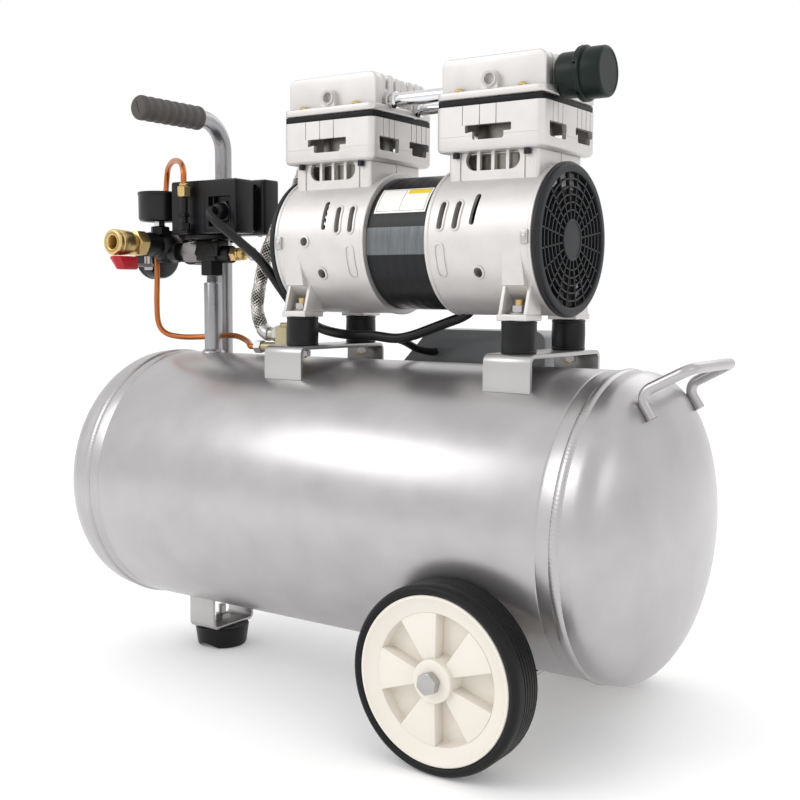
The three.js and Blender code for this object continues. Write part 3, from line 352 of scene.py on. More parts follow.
def hexagon(axis, centre, low, high, flats, chamfer=0.8, first=0.0):
    """A six-sided nut or head, its corners taken off by a shallow cone at both ends."""
    across = {"x": (centre[1], centre[2]), "y": (centre[0], centre[2]), "z": (centre[0], centre[1])}[axis]
    corner = flats / math.sqrt(3)
    start = centre["xyz".index(axis)]
    prism = slab(ring_of(6, corner, across, first), axis, start + low, start + high)
    cone = spun(axis, centre, [(low - 0.01, 0), (low - 0.01, corner - 1.7 * chamfer),
                               (low + chamfer, corner + 0.1),
                               (high - chamfer, corner + 0.1), (high + 0.01, corner - 1.7 * chamfer),
                               (high + 0.01, 0)], 36)
    return carve(prism, cone, "INTERSECT")


turned_brass = grain(new_finish("turned_brass", "#D0B47A", 1.0, 0.36), 0.35, 0.006, "#C0A368", "#DCC28C",
                     0.28, 0.42, stretch=(1, 0.2, 1))

drain_low = span("drain_cock")[0]
drain_x, drain_foot = tank_x, 44.5
drain_top = 51.7
wing_thick = 3.0
wing = slab([(-14, 0), (-14, 4.5), (-11, 7), (-5, 7.6), (5, 7.6), (11, 7), (14, 4.5), (14, 0), (9, 0),
             (6, 1.6),
             (-6, 1.6), (-9, 0)], "y", -wing_thick / 2, wing_thick / 2)
wing.transform(Matrix.Translation((drain_x, 0, drain_low.z)))
make_piece("drain_cock_body", together(
    hexagon("z", (drain_x, 0, 0), drain_foot - 7.5, drain_foot - 0.3, 12),
    drum("z", (drain_x, 0, 0), drain_foot - 0.4, drain_top - 0.2, 5.0, 0.4),
    drum("z", (drain_x, 0, 0), drain_low.z + 5, drain_foot - 7, 3.6, 0.5),
    rounded(wing, 0.6)), turned_brass, "drain_cock", "brass", "drain_cock")

# ------------------------------------------------------------------ lifting handle
# A bent steel rod whose two flattened feet are welded to the right-hand end, sprayed with the receiver.


def bent(corners, bend, steps=8):
    """Straight runs between corners, joined by round bends of one radius."""
    corners = [Vector(corner).to_3d() for corner in corners]
    path = [corners[0]]
    for before, corner, after in zip(corners, corners[1:], corners[2:]):
        back, on = (before - corner).normalized(), (after - corner).normalized()
        half = back.angle(on) / 2
        centre = corner + (back + on).normalized() * bend / math.sin(half)
        start = corner + back * bend / math.tan(half) - centre
        finish = corner + on * bend / math.tan(half) - centre
        axis, whole = start.cross(finish), start.angle(finish)
        path += [centre + Matrix.Rotation(whole * i / steps, 3, axis) @ start for i in range(steps + 1)]
    return path + [corners[-1]]


def rod(path, radius, fineness=6):
    """A round bar along a path, with flat closed ends."""
    curve = bpy.data.curves.new("rod", "CURVE")
    curve.dimensions = "3D"
    curve.bevel_depth = radius
    curve.bevel_resolution = fineness
    curve.use_fill_caps = True
    spline = curve.splines.new("POLY")
    spline.points.add(len(path) - 1)
    for point, place in zip(spline.points, path):
        point.co = (*place, 1)
    holder = bpy.data.objects.new("rod", curve)
    mesh = bpy.data.meshes.new_from_object(holder)
    shape = bmesh.new()
    shape.from_mesh(mesh)
    bpy.data.objects.remove(holder)
    bpy.data.curves.remove(curve)
    bpy.data.meshes.remove(mesh)
    bmesh.ops.remove_doubles(shape, verts=shape.verts, dist=1e-4)
    bmesh.ops.recalc_face_normals(shape, faces=shape.faces)
    return shape


lift_low, lift_high = span("lifting_handle")
rod_radius, lift_bend = 4.5, 10.0
lift_root = Vector((lift_high.x - 32.45, lift_high.y - rod_radius, lift_low.z + 3))
lift_elbow = Vector((lift_high.x - 44.5, lift_high.y - rod_radius, lift_high.z - 25.5))
lift_knee = Vector((lift_high.x - rod_radius, lift_high.y - 8.5, lift_high.z - rod_radius))
near = Vector((1, -1, 1))
lift_path = bent([lift_root * near, lift_elbow * near, lift_knee * near, lift_knee, lift_elbow, lift_root],
                 lift_bend)
make_piece("lifting_handle_rod", rod(lift_path, rod_radius, 8), silver_enamel, "machine", "tank_paint",
           "lifting_handle")

# ------------------------------------------------------------------ push handle
# A steel tube welded to the back of the receiver and bent over to the front, sprayed silver, with a soft
# ribbed grip pushed on its end.
handle_low, handle_high = span("push_handle_tube")
handle_radius, handle_bend = 9.0, 32.0
handle_x = (handle_low.x + handle_high.x) / 2
handle_y = handle_high.y - handle_radius
handle_top = handle_high.z - handle_radius
handle_path = bent([(handle_x, handle_y, handle_low.z), (handle_x, handle_y, handle_top),
                    (handle_x, handle_low.y, handle_top)], handle_bend, 18)
# The tubes' silver is a darker copy of the receiver's enamel: painted shade.
shaded_silver_tube = grain(new_finish("silver_tube_painted_shade", "#9B9A9C", 0.88, 0.34, Coat_Weight=0.12), 0.8, 0.008,
                     "#8F8E90", "#A8A7A9", 0.28, 0.38)
make_piece("push_handle_pipe", rod(handle_path, handle_radius, 12), shaded_silver_tube, "machine", "tank_paint",
           "push_handle_tube")
make_piece("push_handle_weld", spun("z", (handle_x, handle_y, handle_low.z + 4), [
    (-3, handle_radius - 1), (-3, handle_radius + 2.6), (-0.6, handle_radius + 2.4),
    (1.2, handle_radius + 1.2),
    (2.6, handle_radius - 0.2), (2.6, handle_radius - 1)], 48), silver_enamel, "machine", "tank_paint")

grip_rubber = grain(new_finish("moulded_grip_rubber", "#45423F", 0.0, 0.62), 0.5, 0.05, "#3D3A38", "#4E4A47",
                    0.55, 0.7)
grip_low, grip_high = span("handle_grip")
grip_radius = (grip_high.z - grip_low.z) / 2
rib_pitch, rib_height = 11.0, 0.9
grip_length = grip_high.y - grip_low.y
grip_skin = []
for i in range(61):
    along = 3 + (grip_length - 5) * i / 60
    swell = 0.5 - 0.5 * math.cos(2 * math.pi * along / rib_pitch)
    grip_skin.append((along, grip_radius - rib_height * (1 - swell ** 0.6)))
grip = spun("y", (handle_x, grip_low.y, handle_top), [(0, 0), (0, grip_radius - 3.4),
                                                      (0.5, grip_radius - 2.2),
            (1.5, grip_radius - 1.2)] + grip_skin + [(grip_length, grip_radius - 2), (grip_length, 0)], 72)
slit = slab([(-7, -0.4), (7, -0.4), (7, 0.4), (-7, 0.4)], "y", -1, 0.7)
slit.transform(Matrix.Translation((handle_x, grip_low.y, handle_top)) @ Matrix.Rotation(math.radians(70), 4,
                                                                                        "Y"))
grip = carve(grip, slit)
make_piece("ribbed_grip", grip, grip_rubber, "machine", "grip_rubber", "handle_grip")

# ------------------------------------------------------------------ saddles
# Two strips of zinc-plated plate, folded down at both ends and welded across the top of the receiver to
# carry the pump. Bright zinc is pale and smooth, with the faint spangle of the plating.


def folded(corners, bend, thickness):
    """The outline of a bent plate: its outer corners, then its inner ones, with round bends."""
    outer = [Vector(corner) for corner in corners]
    middle = sum(outer, Vector((0, 0))) / len(outer)
    inward = [Vector((math.copysign(thickness, middle.x - c.x), 0)) for c in outer]
    rise = Vector((0, math.copysign(thickness, outer[0].y - outer[1].y)))
    inner = [outer[0] + inward[0], outer[1] + inward[1] + rise, outer[2] + inward[2] + rise,
             outer[3] + inward[3]]
    return bent(outer, bend) + bent(inner, bend - thickness)[::-1]


bright_zinc = grain(new_finish("bright_zinc_plate", "#B5B4B3", 0.92, 0.34), 2.2, 0.01, "#A7A6A5", "#C2C1C0",
                    0.28, 0.42)
plate_thick, plate_bend = 3.5, 7.5
mount_y = span("left_rear_mount")[0].y + 15.0
for side in ("left", "right"):
    low, high = span(side + "_saddle")
    outline = folded([(low.y, low.z), (low.y, high.z), (high.y, high.z), (high.y, low.z)], plate_bend,
                     plate_thick)
    strip = slab(outline, "x", low.x, high.x)
    around = drum("x", tank_centre, -seam, seam, tank_radius - 0.2, steps=128)
    strip = carve(strip, around)
    make_piece(side + "_saddle_plate", rounded(strip, 0.5), bright_zinc, "machine", "zinc", side + "_saddle")

# ------------------------------------------------------------------ pump mounts
# Four moulded rubber buffers with a steel plate and a yellow-passivated stud bonded into each end. A nut on
# the upper stud holds the crankcase foot.
buffer_rubber = grain(new_finish("moulded_buffer_rubber", "#0C0C0E", 0.0, 0.4, Specular_IOR_Level=0.28), 0.6,
                      0.02, "#09090B", "#101113", 0.3, 0.46)
buffer_radius, buffer_low, buffer_high = 15.0, 325.5, 352.0
pad_top, nut_rise, nut_flats, stud_radius = 357.8, 6.0, 13.0, 3.9
mount_nuts, mount_studs = [], []
for side in ("left", "right"):
    for row in ("front", "rear"):
        node = f"{side}_{row}_mount"
        low, high = span(node)
        x, y = (low.x + high.x) / 2, (low.y + high.y) / 2
        make_piece(f"{side}_{row}_buffer", spun("z", (x, y, 0), [
            (buffer_low, 0), (buffer_low, 12.6), (buffer_low, buffer_radius - 0.5),
            (buffer_low + 0.6, buffer_radius),
            (buffer_low + 1.8, buffer_radius), (buffer_low + 2.4, buffer_radius - 0.45), (buffer_low + 3.4,
            buffer_radius - 0.25), (338.7, buffer_radius), (buffer_high - 3.4, buffer_radius - 0.25),
            (buffer_high - 2.4, buffer_radius - 0.45), (buffer_high - 1.8, buffer_radius),
            (buffer_high - 0.6, buffer_radius), (buffer_high, buffer_radius - 0.5), (buffer_high, 0)], 64),
            buffer_rubber, "machine", "mount_rubber", node)
        mount_studs += [drum("z", (x, y, 0), pad_top - 4, high.z, stud_radius, 0.7),
                        drum("z", (x, y, 0), low.z, buffer_low + 0.2, stud_radius, 0.5)]
        mount_nuts += [hexagon("z", (x, y, 0), pad_top + 1.4, pad_top + 1.4 + nut_rise, nut_flats, 0.7, 12),
                       drum("z", (x, y, 0), pad_top, pad_top + 1.4, 8.4, 0.3),
                       hexagon("z", (x, y, 0), low.z + 1.5, low.z + 7.5, nut_flats, 0.7, 40)]
make_piece("mount_nuts", together(*mount_nuts), bright_zinc, "machine", "zinc")
make_piece("mount_studs", together(*mount_studs), turned_brass, "machine", "brass")

# ------------------------------------------------------------------ wheels
# Solid black rubber tyres with fine grooves round the tread, pressed over hubs moulded in off-white
# polypropylene: a smooth waxy plastic that lets a little light in. Five hollow petals stiffen each hub.
tyre_rubber = grain(new_finish("solid_tyre_rubber", "#0D0D0F", 0.0, 0.46, Specular_IOR_Level=0.25), 0.7, 0.03,
                    "#0A0A0C", "#131315", 0.38, 0.55)
hub_plastic = grain(new_finish("moulded_polypropylene", "#E2DCD2", 0.0, 0.36, Subsurface_Weight=0.12,
                               Subsurface_Radius=(0.006, 0.005, 0.004), Subsurface_Scale=0.5), 3.0, 0.02,
                    "#DDD7CC", "#E8E2D9", 0.3, 0.42)
rim_radius, groove_depth, groove_width, groove_pitch = 67.7, 1.1, 1.1, 3.7
petal_inner, petal_outer, petal_half, petal_count = 14.0, 53.0, 19.0, 5
floor_depth, petal_depth, boss_radius, axle_radius = 17.0, 5.0, 17.0, 6.0
for row, outward in (("front", -1), ("rear", 1)):
    low, high = span(row + "_tyre")
    x, z, wheel_radius, width = (low.x + high.x) / 2, (low.z + high.z) / 2, (high.z - low.z) / 2, high.y - low.y
    face = low.y if outward < 0 else high.y
    grooves = []
    for i in range(6):
        at = width - 4.5 - groove_pitch * (5 - i)
        grooves += [(at - groove_width / 2, wheel_radius),
                    (at - groove_width / 4, wheel_radius - groove_depth),
                    (at + groove_width / 4, wheel_radius - groove_depth),
                    (at + groove_width / 2, wheel_radius)]
    tread = ([(2.2, rim_radius), (1.0, rim_radius + 0.9), (0.3, 70.2), (0, 71.4), (0.3, 72.8), (1.4, 74.2),
              (3.2, 75.2), (5.2, wheel_radius)] + grooves +
             [(width - 2.4, 75.2), (width - 0.8, 74), (width, 72), (width - 0.6, 69.6),
              (width - 2, rim_radius)])
    wheel_centre = (x, face, z)
    make_piece(row + "_tyre_ring", spun("y", wheel_centre, [(-outward * a, r) for a, r in tread], 128),
               tyre_rubber, row + "_wheel", "tyre_rubber", row + "_tyre", smooth=50)
    dish = [(1.5, rim_radius - 0.3), (0.9, 66.8), (0.9, 65.2), (1.6, 64.4), (2.8, 63.2), (petal_depth, 54.6),
            (petal_depth + 0.9, petal_outer), (floor_depth - 1, 51.4), (floor_depth, 50.2), (floor_depth, 18),
            (floor_depth - 1, boss_radius + 0.6), (1.2, boss_radius),
            (0.3, boss_radius - 0.9), (0, boss_radius - 2.2), (0, axle_radius + 0.4),
            (width, axle_radius + 0.4), (width, 13), (width - 0.8, 14), (24.5, 14.4), (23, 16), (23, 55),
            (24.5, 57), (width - 1.6, 62.4), (width - 0.8, 63.2), (width - 0.8, 66.8),
            (width - 1.4, rim_radius - 0.3)]
    hub = [spun("y", wheel_centre, [(-outward * a, r) for a, r in dish], 128)]
    for i in range(petal_count):
        middle = 180 + 360 / petal_count * i
        arc = [math.radians(middle - petal_half + petal_half * k / 4) for k in range(9)]
        foot = [math.radians(middle + petal_half * s) for s in (1.0, -1.0)]
        outline = [(x + petal_outer * math.cos(a), z + petal_outer * math.sin(a)) for a in arc]
        outline += [(x + petal_inner * math.cos(a), z + petal_inner * math.sin(a)) for a in foot]
        near_face, far_face = face - outward * petal_depth, face - outward * (floor_depth + 2)
        hub.append(rounded(slab(outline, "y", min(near_face, far_face), max(near_face, far_face)), 0.8, 2))
        rib = [math.radians(middle + 36 + s * 1.6) for s in (-1, 1)]
        hub.append(slab([(x + 58 * math.cos(a), z + 58 * math.sin(a)) for a in rib] +
                        [(x + 12 * math.cos(a + s * 0.06), z + 12 * math.sin(a + s * 0.06)) for a, s in
                         zip(rib[::-1], (1, -1))], "y", *sorted((face - outward * 22, face - outward * 31))))
    make_piece(row + "_hub", together(*hub), hub_plastic, row + "_wheel", "wheel_plastic", row + "_wheel_hub")

    head_low, head_high = span(row + "_axle_bolt")
    head_face = head_low.y if outward < 0 else head_high.y
    inner_end = head_high.y if outward < 0 else head_low.y
    head_rise, head_flats = 7.4, 15.8
    bolt = [hexagon("y", (x, min(head_face, head_face - outward * head_rise), z), 0, head_rise, head_flats,
                    0.8, 20),
            drum("y", (x, 0, z), *sorted((face + outward * 0.35, face + outward * 0.05)), 7.6, 0.1),
            drum("y", (x, 0, z), *sorted((inner_end, face)), axle_radius, 0.6),
            hexagon("y", (x, min(inner_end + outward * 2, inner_end + outward * 12), z), 0, 10, 19, 1.0, 5),
            drum("y", (x, 0, z), *sorted((outward * 122.3, outward * 125.5)), 11, 0.3)]
    make_piece(row + "_axle", together(*bolt), bright_zinc, "machine", "steel", row + "_axle_bolt")

# ------------------------------------------------------------------ axle bracket and foot
# The axle bracket is a wide strap with its ends folded up, and the foot bracket a narrow one. Both are
# zinc-plated and welded under the receiver. The foot is a black rubber block, bolted through its strap.
low, high = span("axle_bracket")
axle_x, axle_z = (low.x + high.x) / 2, 75.7
bracket = slab(folded([(low.y, high.z), (low.y, low.z), (high.y, low.z), (high.y, high.z)], 9.0, 4.0), "x",
               low.x, high.x)
bracket = carve(bracket, drum("y", (axle_x, 0, axle_z), low.y - 1, high.y + 1, axle_radius + 0.3, steps=32))
bracket = carve(bracket, drum("x", tank_centre, -seam, seam, tank_radius + 0.1, steps=128))
make_piece("axle_strap", rounded(bracket, 0.6), bright_zinc, "machine", "zinc", "axle_bracket")

low, high = span("foot_bracket")
foot_x = (low.x + high.x) / 2
strap = slab(folded([(low.y, high.z + 6), (low.y, low.z), (high.y, low.z), (high.y, high.z + 6)], 7.0, 3.0),
             "x",
             low.x, high.x)
strap = carve(strap, drum("x", tank_centre, -seam, seam, tank_radius + 0.1, steps=128))
make_piece("foot_strap", rounded(strap, 0.5), bright_zinc, "machine", "zinc", "foot_bracket")
make_piece("foot_bolt", together(
    drum("z", (foot_x, 0, 0), 10, low.z + 20, 3.9, 0.6),
    hexagon("z", (foot_x, 0, 0), low.z + 4.4, low.z + 10.6, 13, 0.7, 15),
    drum("z", (foot_x, 0, 0), low.z + 3.1, low.z + 4.5, 8.6, 0.3)), bright_zinc, "machine", "zinc")

low, high = span("rubber_foot")
foot_top, foot_bottom = (high.x - low.x) / 2, 25.5
foot = spun("z", (foot_x, 0, 0), [
    (8, 0), (8, 9), (1.2, 10), (0, 11.2), (0, foot_bottom - 2.4), (0.7, foot_bottom - 0.7),
    (2.4, foot_bottom + 0.3),
    (high.z - 3, foot_top - 0.5), (high.z - 1, foot_top), (high.z, foot_top - 0.8), (high.z, 0)], 72)
arch = drum("y", (foot_x, 0, -19), -40, 40, 24, steps=64)
make_piece("foot_block", carve(foot, arch), buffer_rubber, "machine", "mount_rubber", "rubber_foot")

# ------------------------------------------------------------------ stator
# A stack of thin electrical-steel laminations clamped between the crankcases and dipped in black varnish.
# Their edges show as fine lines round the drum, and a streaky grey band along the front at shaft height is a
# painted highlight.
stator_low, stator_high = span("stator_core")
pump_x = (stator_low.x + stator_high.x) / 2
shaft_z = (stator_low.z + stator_high.z) / 2
stator_half = (stator_high.x - stator_low.x) / 2
stator_radius = (stator_high.y - stator_low.y) / 2
lamination_mm, band_half_mm = 1.6, 12.0
varnished_steel = new_finish("varnished_laminations", "#101114", 0.2, 0.36, Specular_IOR_Level=0.35)
shader = varnished_steel.node_tree.nodes["Principled BSDF"]
place = add_node(varnished_steel, "ShaderNodeTexCoord", {})
edges = add_node(varnished_steel, "ShaderNodeTexWave", {
    "wave_type": "BANDS", "bands_direction": "X", "Scale": 1000 / lamination_mm / 20, "Distortion": 0.4,
    "Detail": 2.0}, Vector=place.outputs["Object"])
edge_bump = add_node(varnished_steel, "ShaderNodeBump", {"Strength": 0.7, "Distance": 0.00025},
                     Height=edges.outputs["Fac"])
# Painted highlight: a grey band on the front half of the drum, within a few millimetres of shaft height.
axes = add_node(varnished_steel, "ShaderNodeSeparateXYZ", {}, Vector=place.outputs["Object"])
off_axis = add_node(varnished_steel, "ShaderNodeMath", {"operation": "SUBTRACT"}, _0=axes.outputs["Z"])
off_axis.inputs[1].default_value = shaft_z / 1000
height = add_node(varnished_steel, "ShaderNodeMath", {"operation": "ABSOLUTE"}, _0=off_axis.outputs[0])
in_band = add_node(varnished_steel, "ShaderNodeMath", {"operation": "LESS_THAN"}, _0=height.outputs[0])
in_band.inputs[1].default_value = band_half_mm / 1000
in_front = add_node(varnished_steel, "ShaderNodeMath", {"operation": "LESS_THAN"}, _0=axes.outputs["Y"])
in_front.inputs[1].default_value = 0.0
highlight_mask = add_node(varnished_steel, "ShaderNodeMath", {"operation": "MULTIPLY"}, _0=in_band.outputs[0],
                _1=in_front.outputs[0])
highlight_streaks = add_node(varnished_steel, "ShaderNodeTexNoise", {"Scale": 1000 / 2.5, "Detail": 4},
                  Vector=add_node(varnished_steel, "ShaderNodeMapping", {"Scale": (1, 0.08, 0.08)},
                                  Vector=place.outputs["Object"]).outputs[0])
# The two greys are the painted highlight's tones, streaked along the drum.
highlight_tone = add_node(varnished_steel, "ShaderNodeMix", {"data_type": "RGBA"}, Factor=highlight_streaks.outputs["Fac"])
highlight_tone.inputs["A"].default_value = srgb("#484B4F")
highlight_tone.inputs["B"].default_value = srgb("#7B7E80")
colour = add_node(varnished_steel, "ShaderNodeMix", {"data_type": "RGBA"}, Factor=highlight_mask.outputs[0],
                  B=highlight_tone.outputs["Result"])
colour.inputs["A"].default_value = srgb("#101114")
varnished_steel.node_tree.links.new(colour.outputs["Result"], shader.inputs["Base Color"])
varnished_steel.node_tree.links.new(edge_bump.outputs[0], shader.inputs["Normal"])
stack = [(-stator_half, 36), (-stator_half, stator_radius - 0.6), (-stator_half + 0.6, stator_radius)]
stack += [(stator_half - 0.6, stator_radius), (stator_half, stator_radius - 0.6), (stator_half, 36)]
make_piece("stator_stack", spun("x", (pump_x, 0, shaft_z), stack, 160), varnished_steel, "machine",
           "laminations",
           "stator_core")

# ------------------------------------------------------------------ rating sticker
# A blank vinyl sticker on the stator: a white ground, a plain yellow panel and a hairline frame. It is glossy
# film that follows the drum.
sticker_vinyl = new_finish("white_vinyl_film", "#EFEDE8", 0.0, 0.3, Coat_Weight=0.5, Coat_Roughness=0.15)
yellow_vinyl = new_finish("yellow_vinyl_film", "#E9C81E", 0.0, 0.3, Coat_Weight=0.5, Coat_Roughness=0.15)
line_ink = new_finish("grey_printed_line", "#8E8C88", 0.0, 0.35)


def film(left, right, low_angle, high_angle, height, thickness=0.12, steps=10):
    """A patch of film lying on the stator between two places along it and two angles up its front."""
    shape = bmesh.new()
    grid = bmesh.ops.create_grid(shape, x_segments=1, y_segments=steps, size=0.5)["verts"]
    for vertex in grid:
        angle = math.radians(low_angle + (high_angle - low_angle) * (vertex.co.y + 0.5))
        radius = stator_radius + height
        vertex.co = (pump_x + left + (right - left) * (vertex.co.x + 0.5), -radius * math.cos(angle),
                     shaft_z + radius * math.sin(angle))
    bmesh.ops.recalc_face_normals(shape, faces=shape.faces)
    bmesh.ops.solidify(shape, geom=shape.faces, thickness=thickness)
    return shape


sticker = (-27.0, 27.0, 24.0, 50.0)
make_piece("sticker_ground", film(*sticker, 0.2), sticker_vinyl, "machine", "laminations")
make_piece("sticker_panel", film(2.0, 25.0, 43.5, 48.5, 0.3), yellow_vinyl, "machine", "laminations")
frame_lines = [film(-25.3, 25.3, 25.6, 26.0, 0.3), film(-25.3, 25.3, 48.6, 49.0, 0.3),
               film(-25.3, -24.9, 25.6, 49.0, 0.3), film(24.9, 25.3, 25.6, 49.0, 0.3),
               film(-0.9, -0.5, 25.6, 49.0, 0.3)]
make_piece("sticker_frame", together(*frame_lines), line_ink, "machine", "laminations")

# ------------------------------------------------------------------ crankcases
# Two pressure die-castings in aluminium, shot-blasted to a fine pale grain. Each closes one end of the motor
# and carries the neck for a cylinder, cooling slots with raised rims, and two feet on gusseted pads.
cast_aluminium = grain(new_finish("blasted_die_cast_aluminium", "#CFCCCA", 0.68, 0.46), 0.5, 0.03, "#C6C3C1",
                       "#DAD7D5", 0.42, 0.54)


def stadium(half_width, low, high, centre=0.0, lean=0.0, steps=10):
    """A long hole's outline: two half circles about (centre, low) and (centre + lean, high)."""
    arcs = [(centre, low, math.pi), (centre + lean, high, 0.0)]
    return [(x + half_width * math.cos(first + math.pi * i / steps),
             z + half_width * math.sin(first + math.pi *
             i / steps)) for x, z, first in arcs for i in range(steps + 1)]


case_radius, body_radius, case_wall, rim_wall = 65.0, 64.1, 4.0, 1.7
case_start, case_end, bulkhead = 32.3, 134.3, 6.0
neck_half_x, neck_half_y, neck_top, neck_wall = 43.2, 40.0, 493.0, 4.0
head_offset, mount_offset = 84.5, 115.3
slots = [(2.7, 431.0, 449.0, 47.0, 1.0, True), (2.7, 431.0, 449.0, 62.0, 1.2, True),
         (2.5, 433.7, 454.8, 77.9, 1.5, False), (4.0, 392.0, 392.2, 82.6, 0, True)]
left_only = [(3.9, 421.0, 421.2, 98.7, 0, True)]
blank_boss = (3.6, 392.6, 412.4, 47.2, 0)
pad_low, pad_half, gusset_wall = 352.3, 14.0, 3.5
blackened_steel = grain(new_finish("oil_blackened_steel", "#26262A", 0.6, 0.4), 0.5, 0.01,
                        "#1F1F23", "#2F2F33", 0.34, 0.48)
for side, outward in (("left", -1), ("right", 1)):
    def across(outline):
        """An outline given outwards from the motor's middle, on this side of it."""
        return [(pump_x + outward * a, b) for a, b in outline]

    centre = (pump_x, 0, shaft_z)
    profile = [(case_start, 56), (case_start, case_radius - 0.6), (case_start + 0.6, case_radius),
               (case_start + 3.2, case_radius), (case_start + 4.2, body_radius),
               (case_end - 3.6, body_radius - 0.3),
               (case_end - 2.8, case_radius - 0.3), (case_end - 0.6, case_radius - 0.3),
               (case_end, case_radius - 1),
               (case_end, body_radius - case_wall), (case_start + bulkhead, body_radius - case_wall),
               (case_start + bulkhead, 56)]
    shell = spun("x", centre, [(outward * u, r) for u, r in profile], 160)
    skin = [(case_start + 1, 50), (case_start + 1, body_radius + 0.9), (case_end - 1, body_radius + 0.9),
            (case_end - 1, 50)]
    wanted = slots + (left_only if side == "left" else [])
    rims = [slab(across(stadium(half + rim_wall, low, high, u, lean)), "y", -70, -45)
            for half, low, high, u, lean, rimmed in wanted if rimmed]
    rims.append(slab(across(stadium(blank_boss[0] + 1.2, *blank_boss[1:])), "y", -70, -45))
    raised = carve(together(*rims), spun("x", centre, [(outward * u, r) for u, r in skin], 160), "INTERSECT")
    cut_parts = []
    for part in (shell, rounded(raised, 0.35, 2, 50)):
        for half, low, high, u, lean, _ in wanted:
            part = carve(part, slab(across(stadium(half, low, high, u, lean)), "y", -80, -30))
        cut_parts.append(part)
    case = together(*cut_parts)
    dimple = slab(across(stadium(*blank_boss)), "y", -80, -30)
    core = drum("x", centre, *sorted((outward * 20, outward * 140)), body_radius + 0.1, steps=160)
    case = carve(case, carve(dimple, core))

    neck_x = pump_x + outward * head_offset
    neck = slab([(neck_x + a * neck_half_x, b * neck_half_y) for a,
                 b in ((-1, -1), (1, -1), (1, 1), (-1, 1))],
                "z", 464, neck_top)
    corners = [e for e in neck.edges if abs(e.verts[0].co.z - e.verts[1].co.z) > 1]
    bmesh.ops.bevel(neck, geom=corners, offset=3, offset_type="OFFSET", segments=4, profile=0.5,
                    affect="EDGES",
                    clamp_overlap=True, material=-1)
    room = slab([(neck_x + a * (neck_half_x - neck_wall), b * (neck_half_y - neck_wall))
                 for a, b in ((-1, -1), (1, -1), (1, 1), (-1, 1))], "z", 472, neck_top - 1)
    neck = carve(neck, room)
    cuts = []
    for row in (-1, 1):
        window = [(neck_x + a, b) for b, a in stadium(9.0, -17, 17)]
        window = [(a, 486.9 + b) for a, b in window]
        cuts.append(slab(window, "y", *sorted((row * 34, row * 44))))
        cuts += [slab([(neck_x + s * 31 - 0.9, 470), (neck_x + s * 31 + 0.9, 470),
                       (neck_x + s * 31 + 0.9, 499),
                       (neck_x + s * 31 - 0.9, 499)], "y", *sorted((row * 38.9, row * 44))) for s in (-1, 1)]
        cuts.append(slab([(row * 0.6 - 0.6, 466), (row * 0.6 + 0.6, 466), (row * 0.6 + 0.6, 499),
                          (row * 0.6 - 0.6, 499)], "x", *sorted((neck_x + row * 42.6, neck_x + row * 50))))
    neck = carve(neck, together(*cuts))
    bars = [slab([(neck_x + at - 1.5, -neck_half_y + 0.4), (neck_x + at + 1.5, -neck_half_y + 0.4),
                  (neck_x + at + 1.5, -neck_half_y + 4), (neck_x + at - 1.5, -neck_half_y + 4)], "z", 476,
                  494)
            for at in (-14, 0, 14)]
    bars += [slab([(neck_x + at - 1.5, neck_half_y - 4), (neck_x + at + 1.5, neck_half_y - 4),
                   (neck_x + at + 1.5, neck_half_y - 0.4), (neck_x + at - 1.5, neck_half_y - 0.4)], "z", 476,
                   494)
             for at in (-14, 0, 14)]
    mark = spun("y", (neck_x + 36.5, -neck_half_y, 481), [(-0.25, 2.0), (-0.25, 2.6), (0.3, 2.6), (0.3, 2.0)],
                24)

    foot_x_here = pump_x + outward * mount_offset
    feet = []
    for row in (-1, 1):
        middle = row * mount_y
        pad = slab([(foot_x_here + a * pad_half, middle + b * pad_half)
                    for a, b in ((-1, -1), (1, -1), (1, 1), (-1, 1))], "z", pad_low, pad_top)
        feet.append(rounded(pad, 1.0, 3))
        fin_foot, fin_edge = pad_low + 0.8, pad_half - 0.5
        fin = [(middle + row * fin_edge, fin_foot), (middle - row * fin_edge, fin_foot),
               (middle - row * fin_edge, 388), (middle - row * 3, 388), (middle + row * 4.5, 383)]
        for end in (-1, 1):
            at = foot_x_here + end * (fin_edge - gusset_wall / 2)
            wing = slab(fin, "x", at - gusset_wall / 2, at + gusset_wall / 2)
            feet.append(rounded(wing, 0.7, 2))
        face = [(foot_x_here - 10.5, 381), (foot_x_here + 10.5, 381), (foot_x_here + 9.5, 410),
                (foot_x_here - 9.5, 410)]
        block = slab(face, "y", *sorted((row * 40, row * 63.4)))
        for vertex in block.verts:
            if vertex.co.z < 383:
                vertex.co.y = row * min(abs(vertex.co.y), 58)
        inside = drum("x", centre, *sorted((outward * 90, outward * 140)), 61.5, steps=96)
        feet.append(rounded(carve(block, inside), 1.2, 3))
    make_piece(side + "_case", together(case, neck, mark, *bars, *feet), cast_aluminium, "machine",
               "cast_aluminium", side + "_crankcase", smooth=32)

    clip_x = pump_x + outward * (case_end - 5.5)
    clip = rounded(slab([(clip_x - 3.6, 414.5), (clip_x + 3.6, 414.5), (clip_x + 3.6, 426),
                         (clip_x - 3.6, 426)],
                        "y", -66.1, -62), 0.7, 2)
    boss = spun("y", (clip_x, -66.1, 420.4), [(-0.9, 0), (-0.9, 1.5), (-0.4, 2.3), (0.4, 2.3), (0.4, 0)], 24)
    make_piece(side + "_cover_clip", together(clip, boss), bright_zinc, "machine", "cast_aluminium")
    make_piece(side + "_neck_screws", together(*[
        hexagon("z", (neck_x + s * 34.0, row * (neck_half_y + 2.6), 0), 488.6, 493.0, 5.5, 0.4, 10)
        for s in (-1, 1) for row in (-1, 1)]), blackened_steel, "machine", "steel")

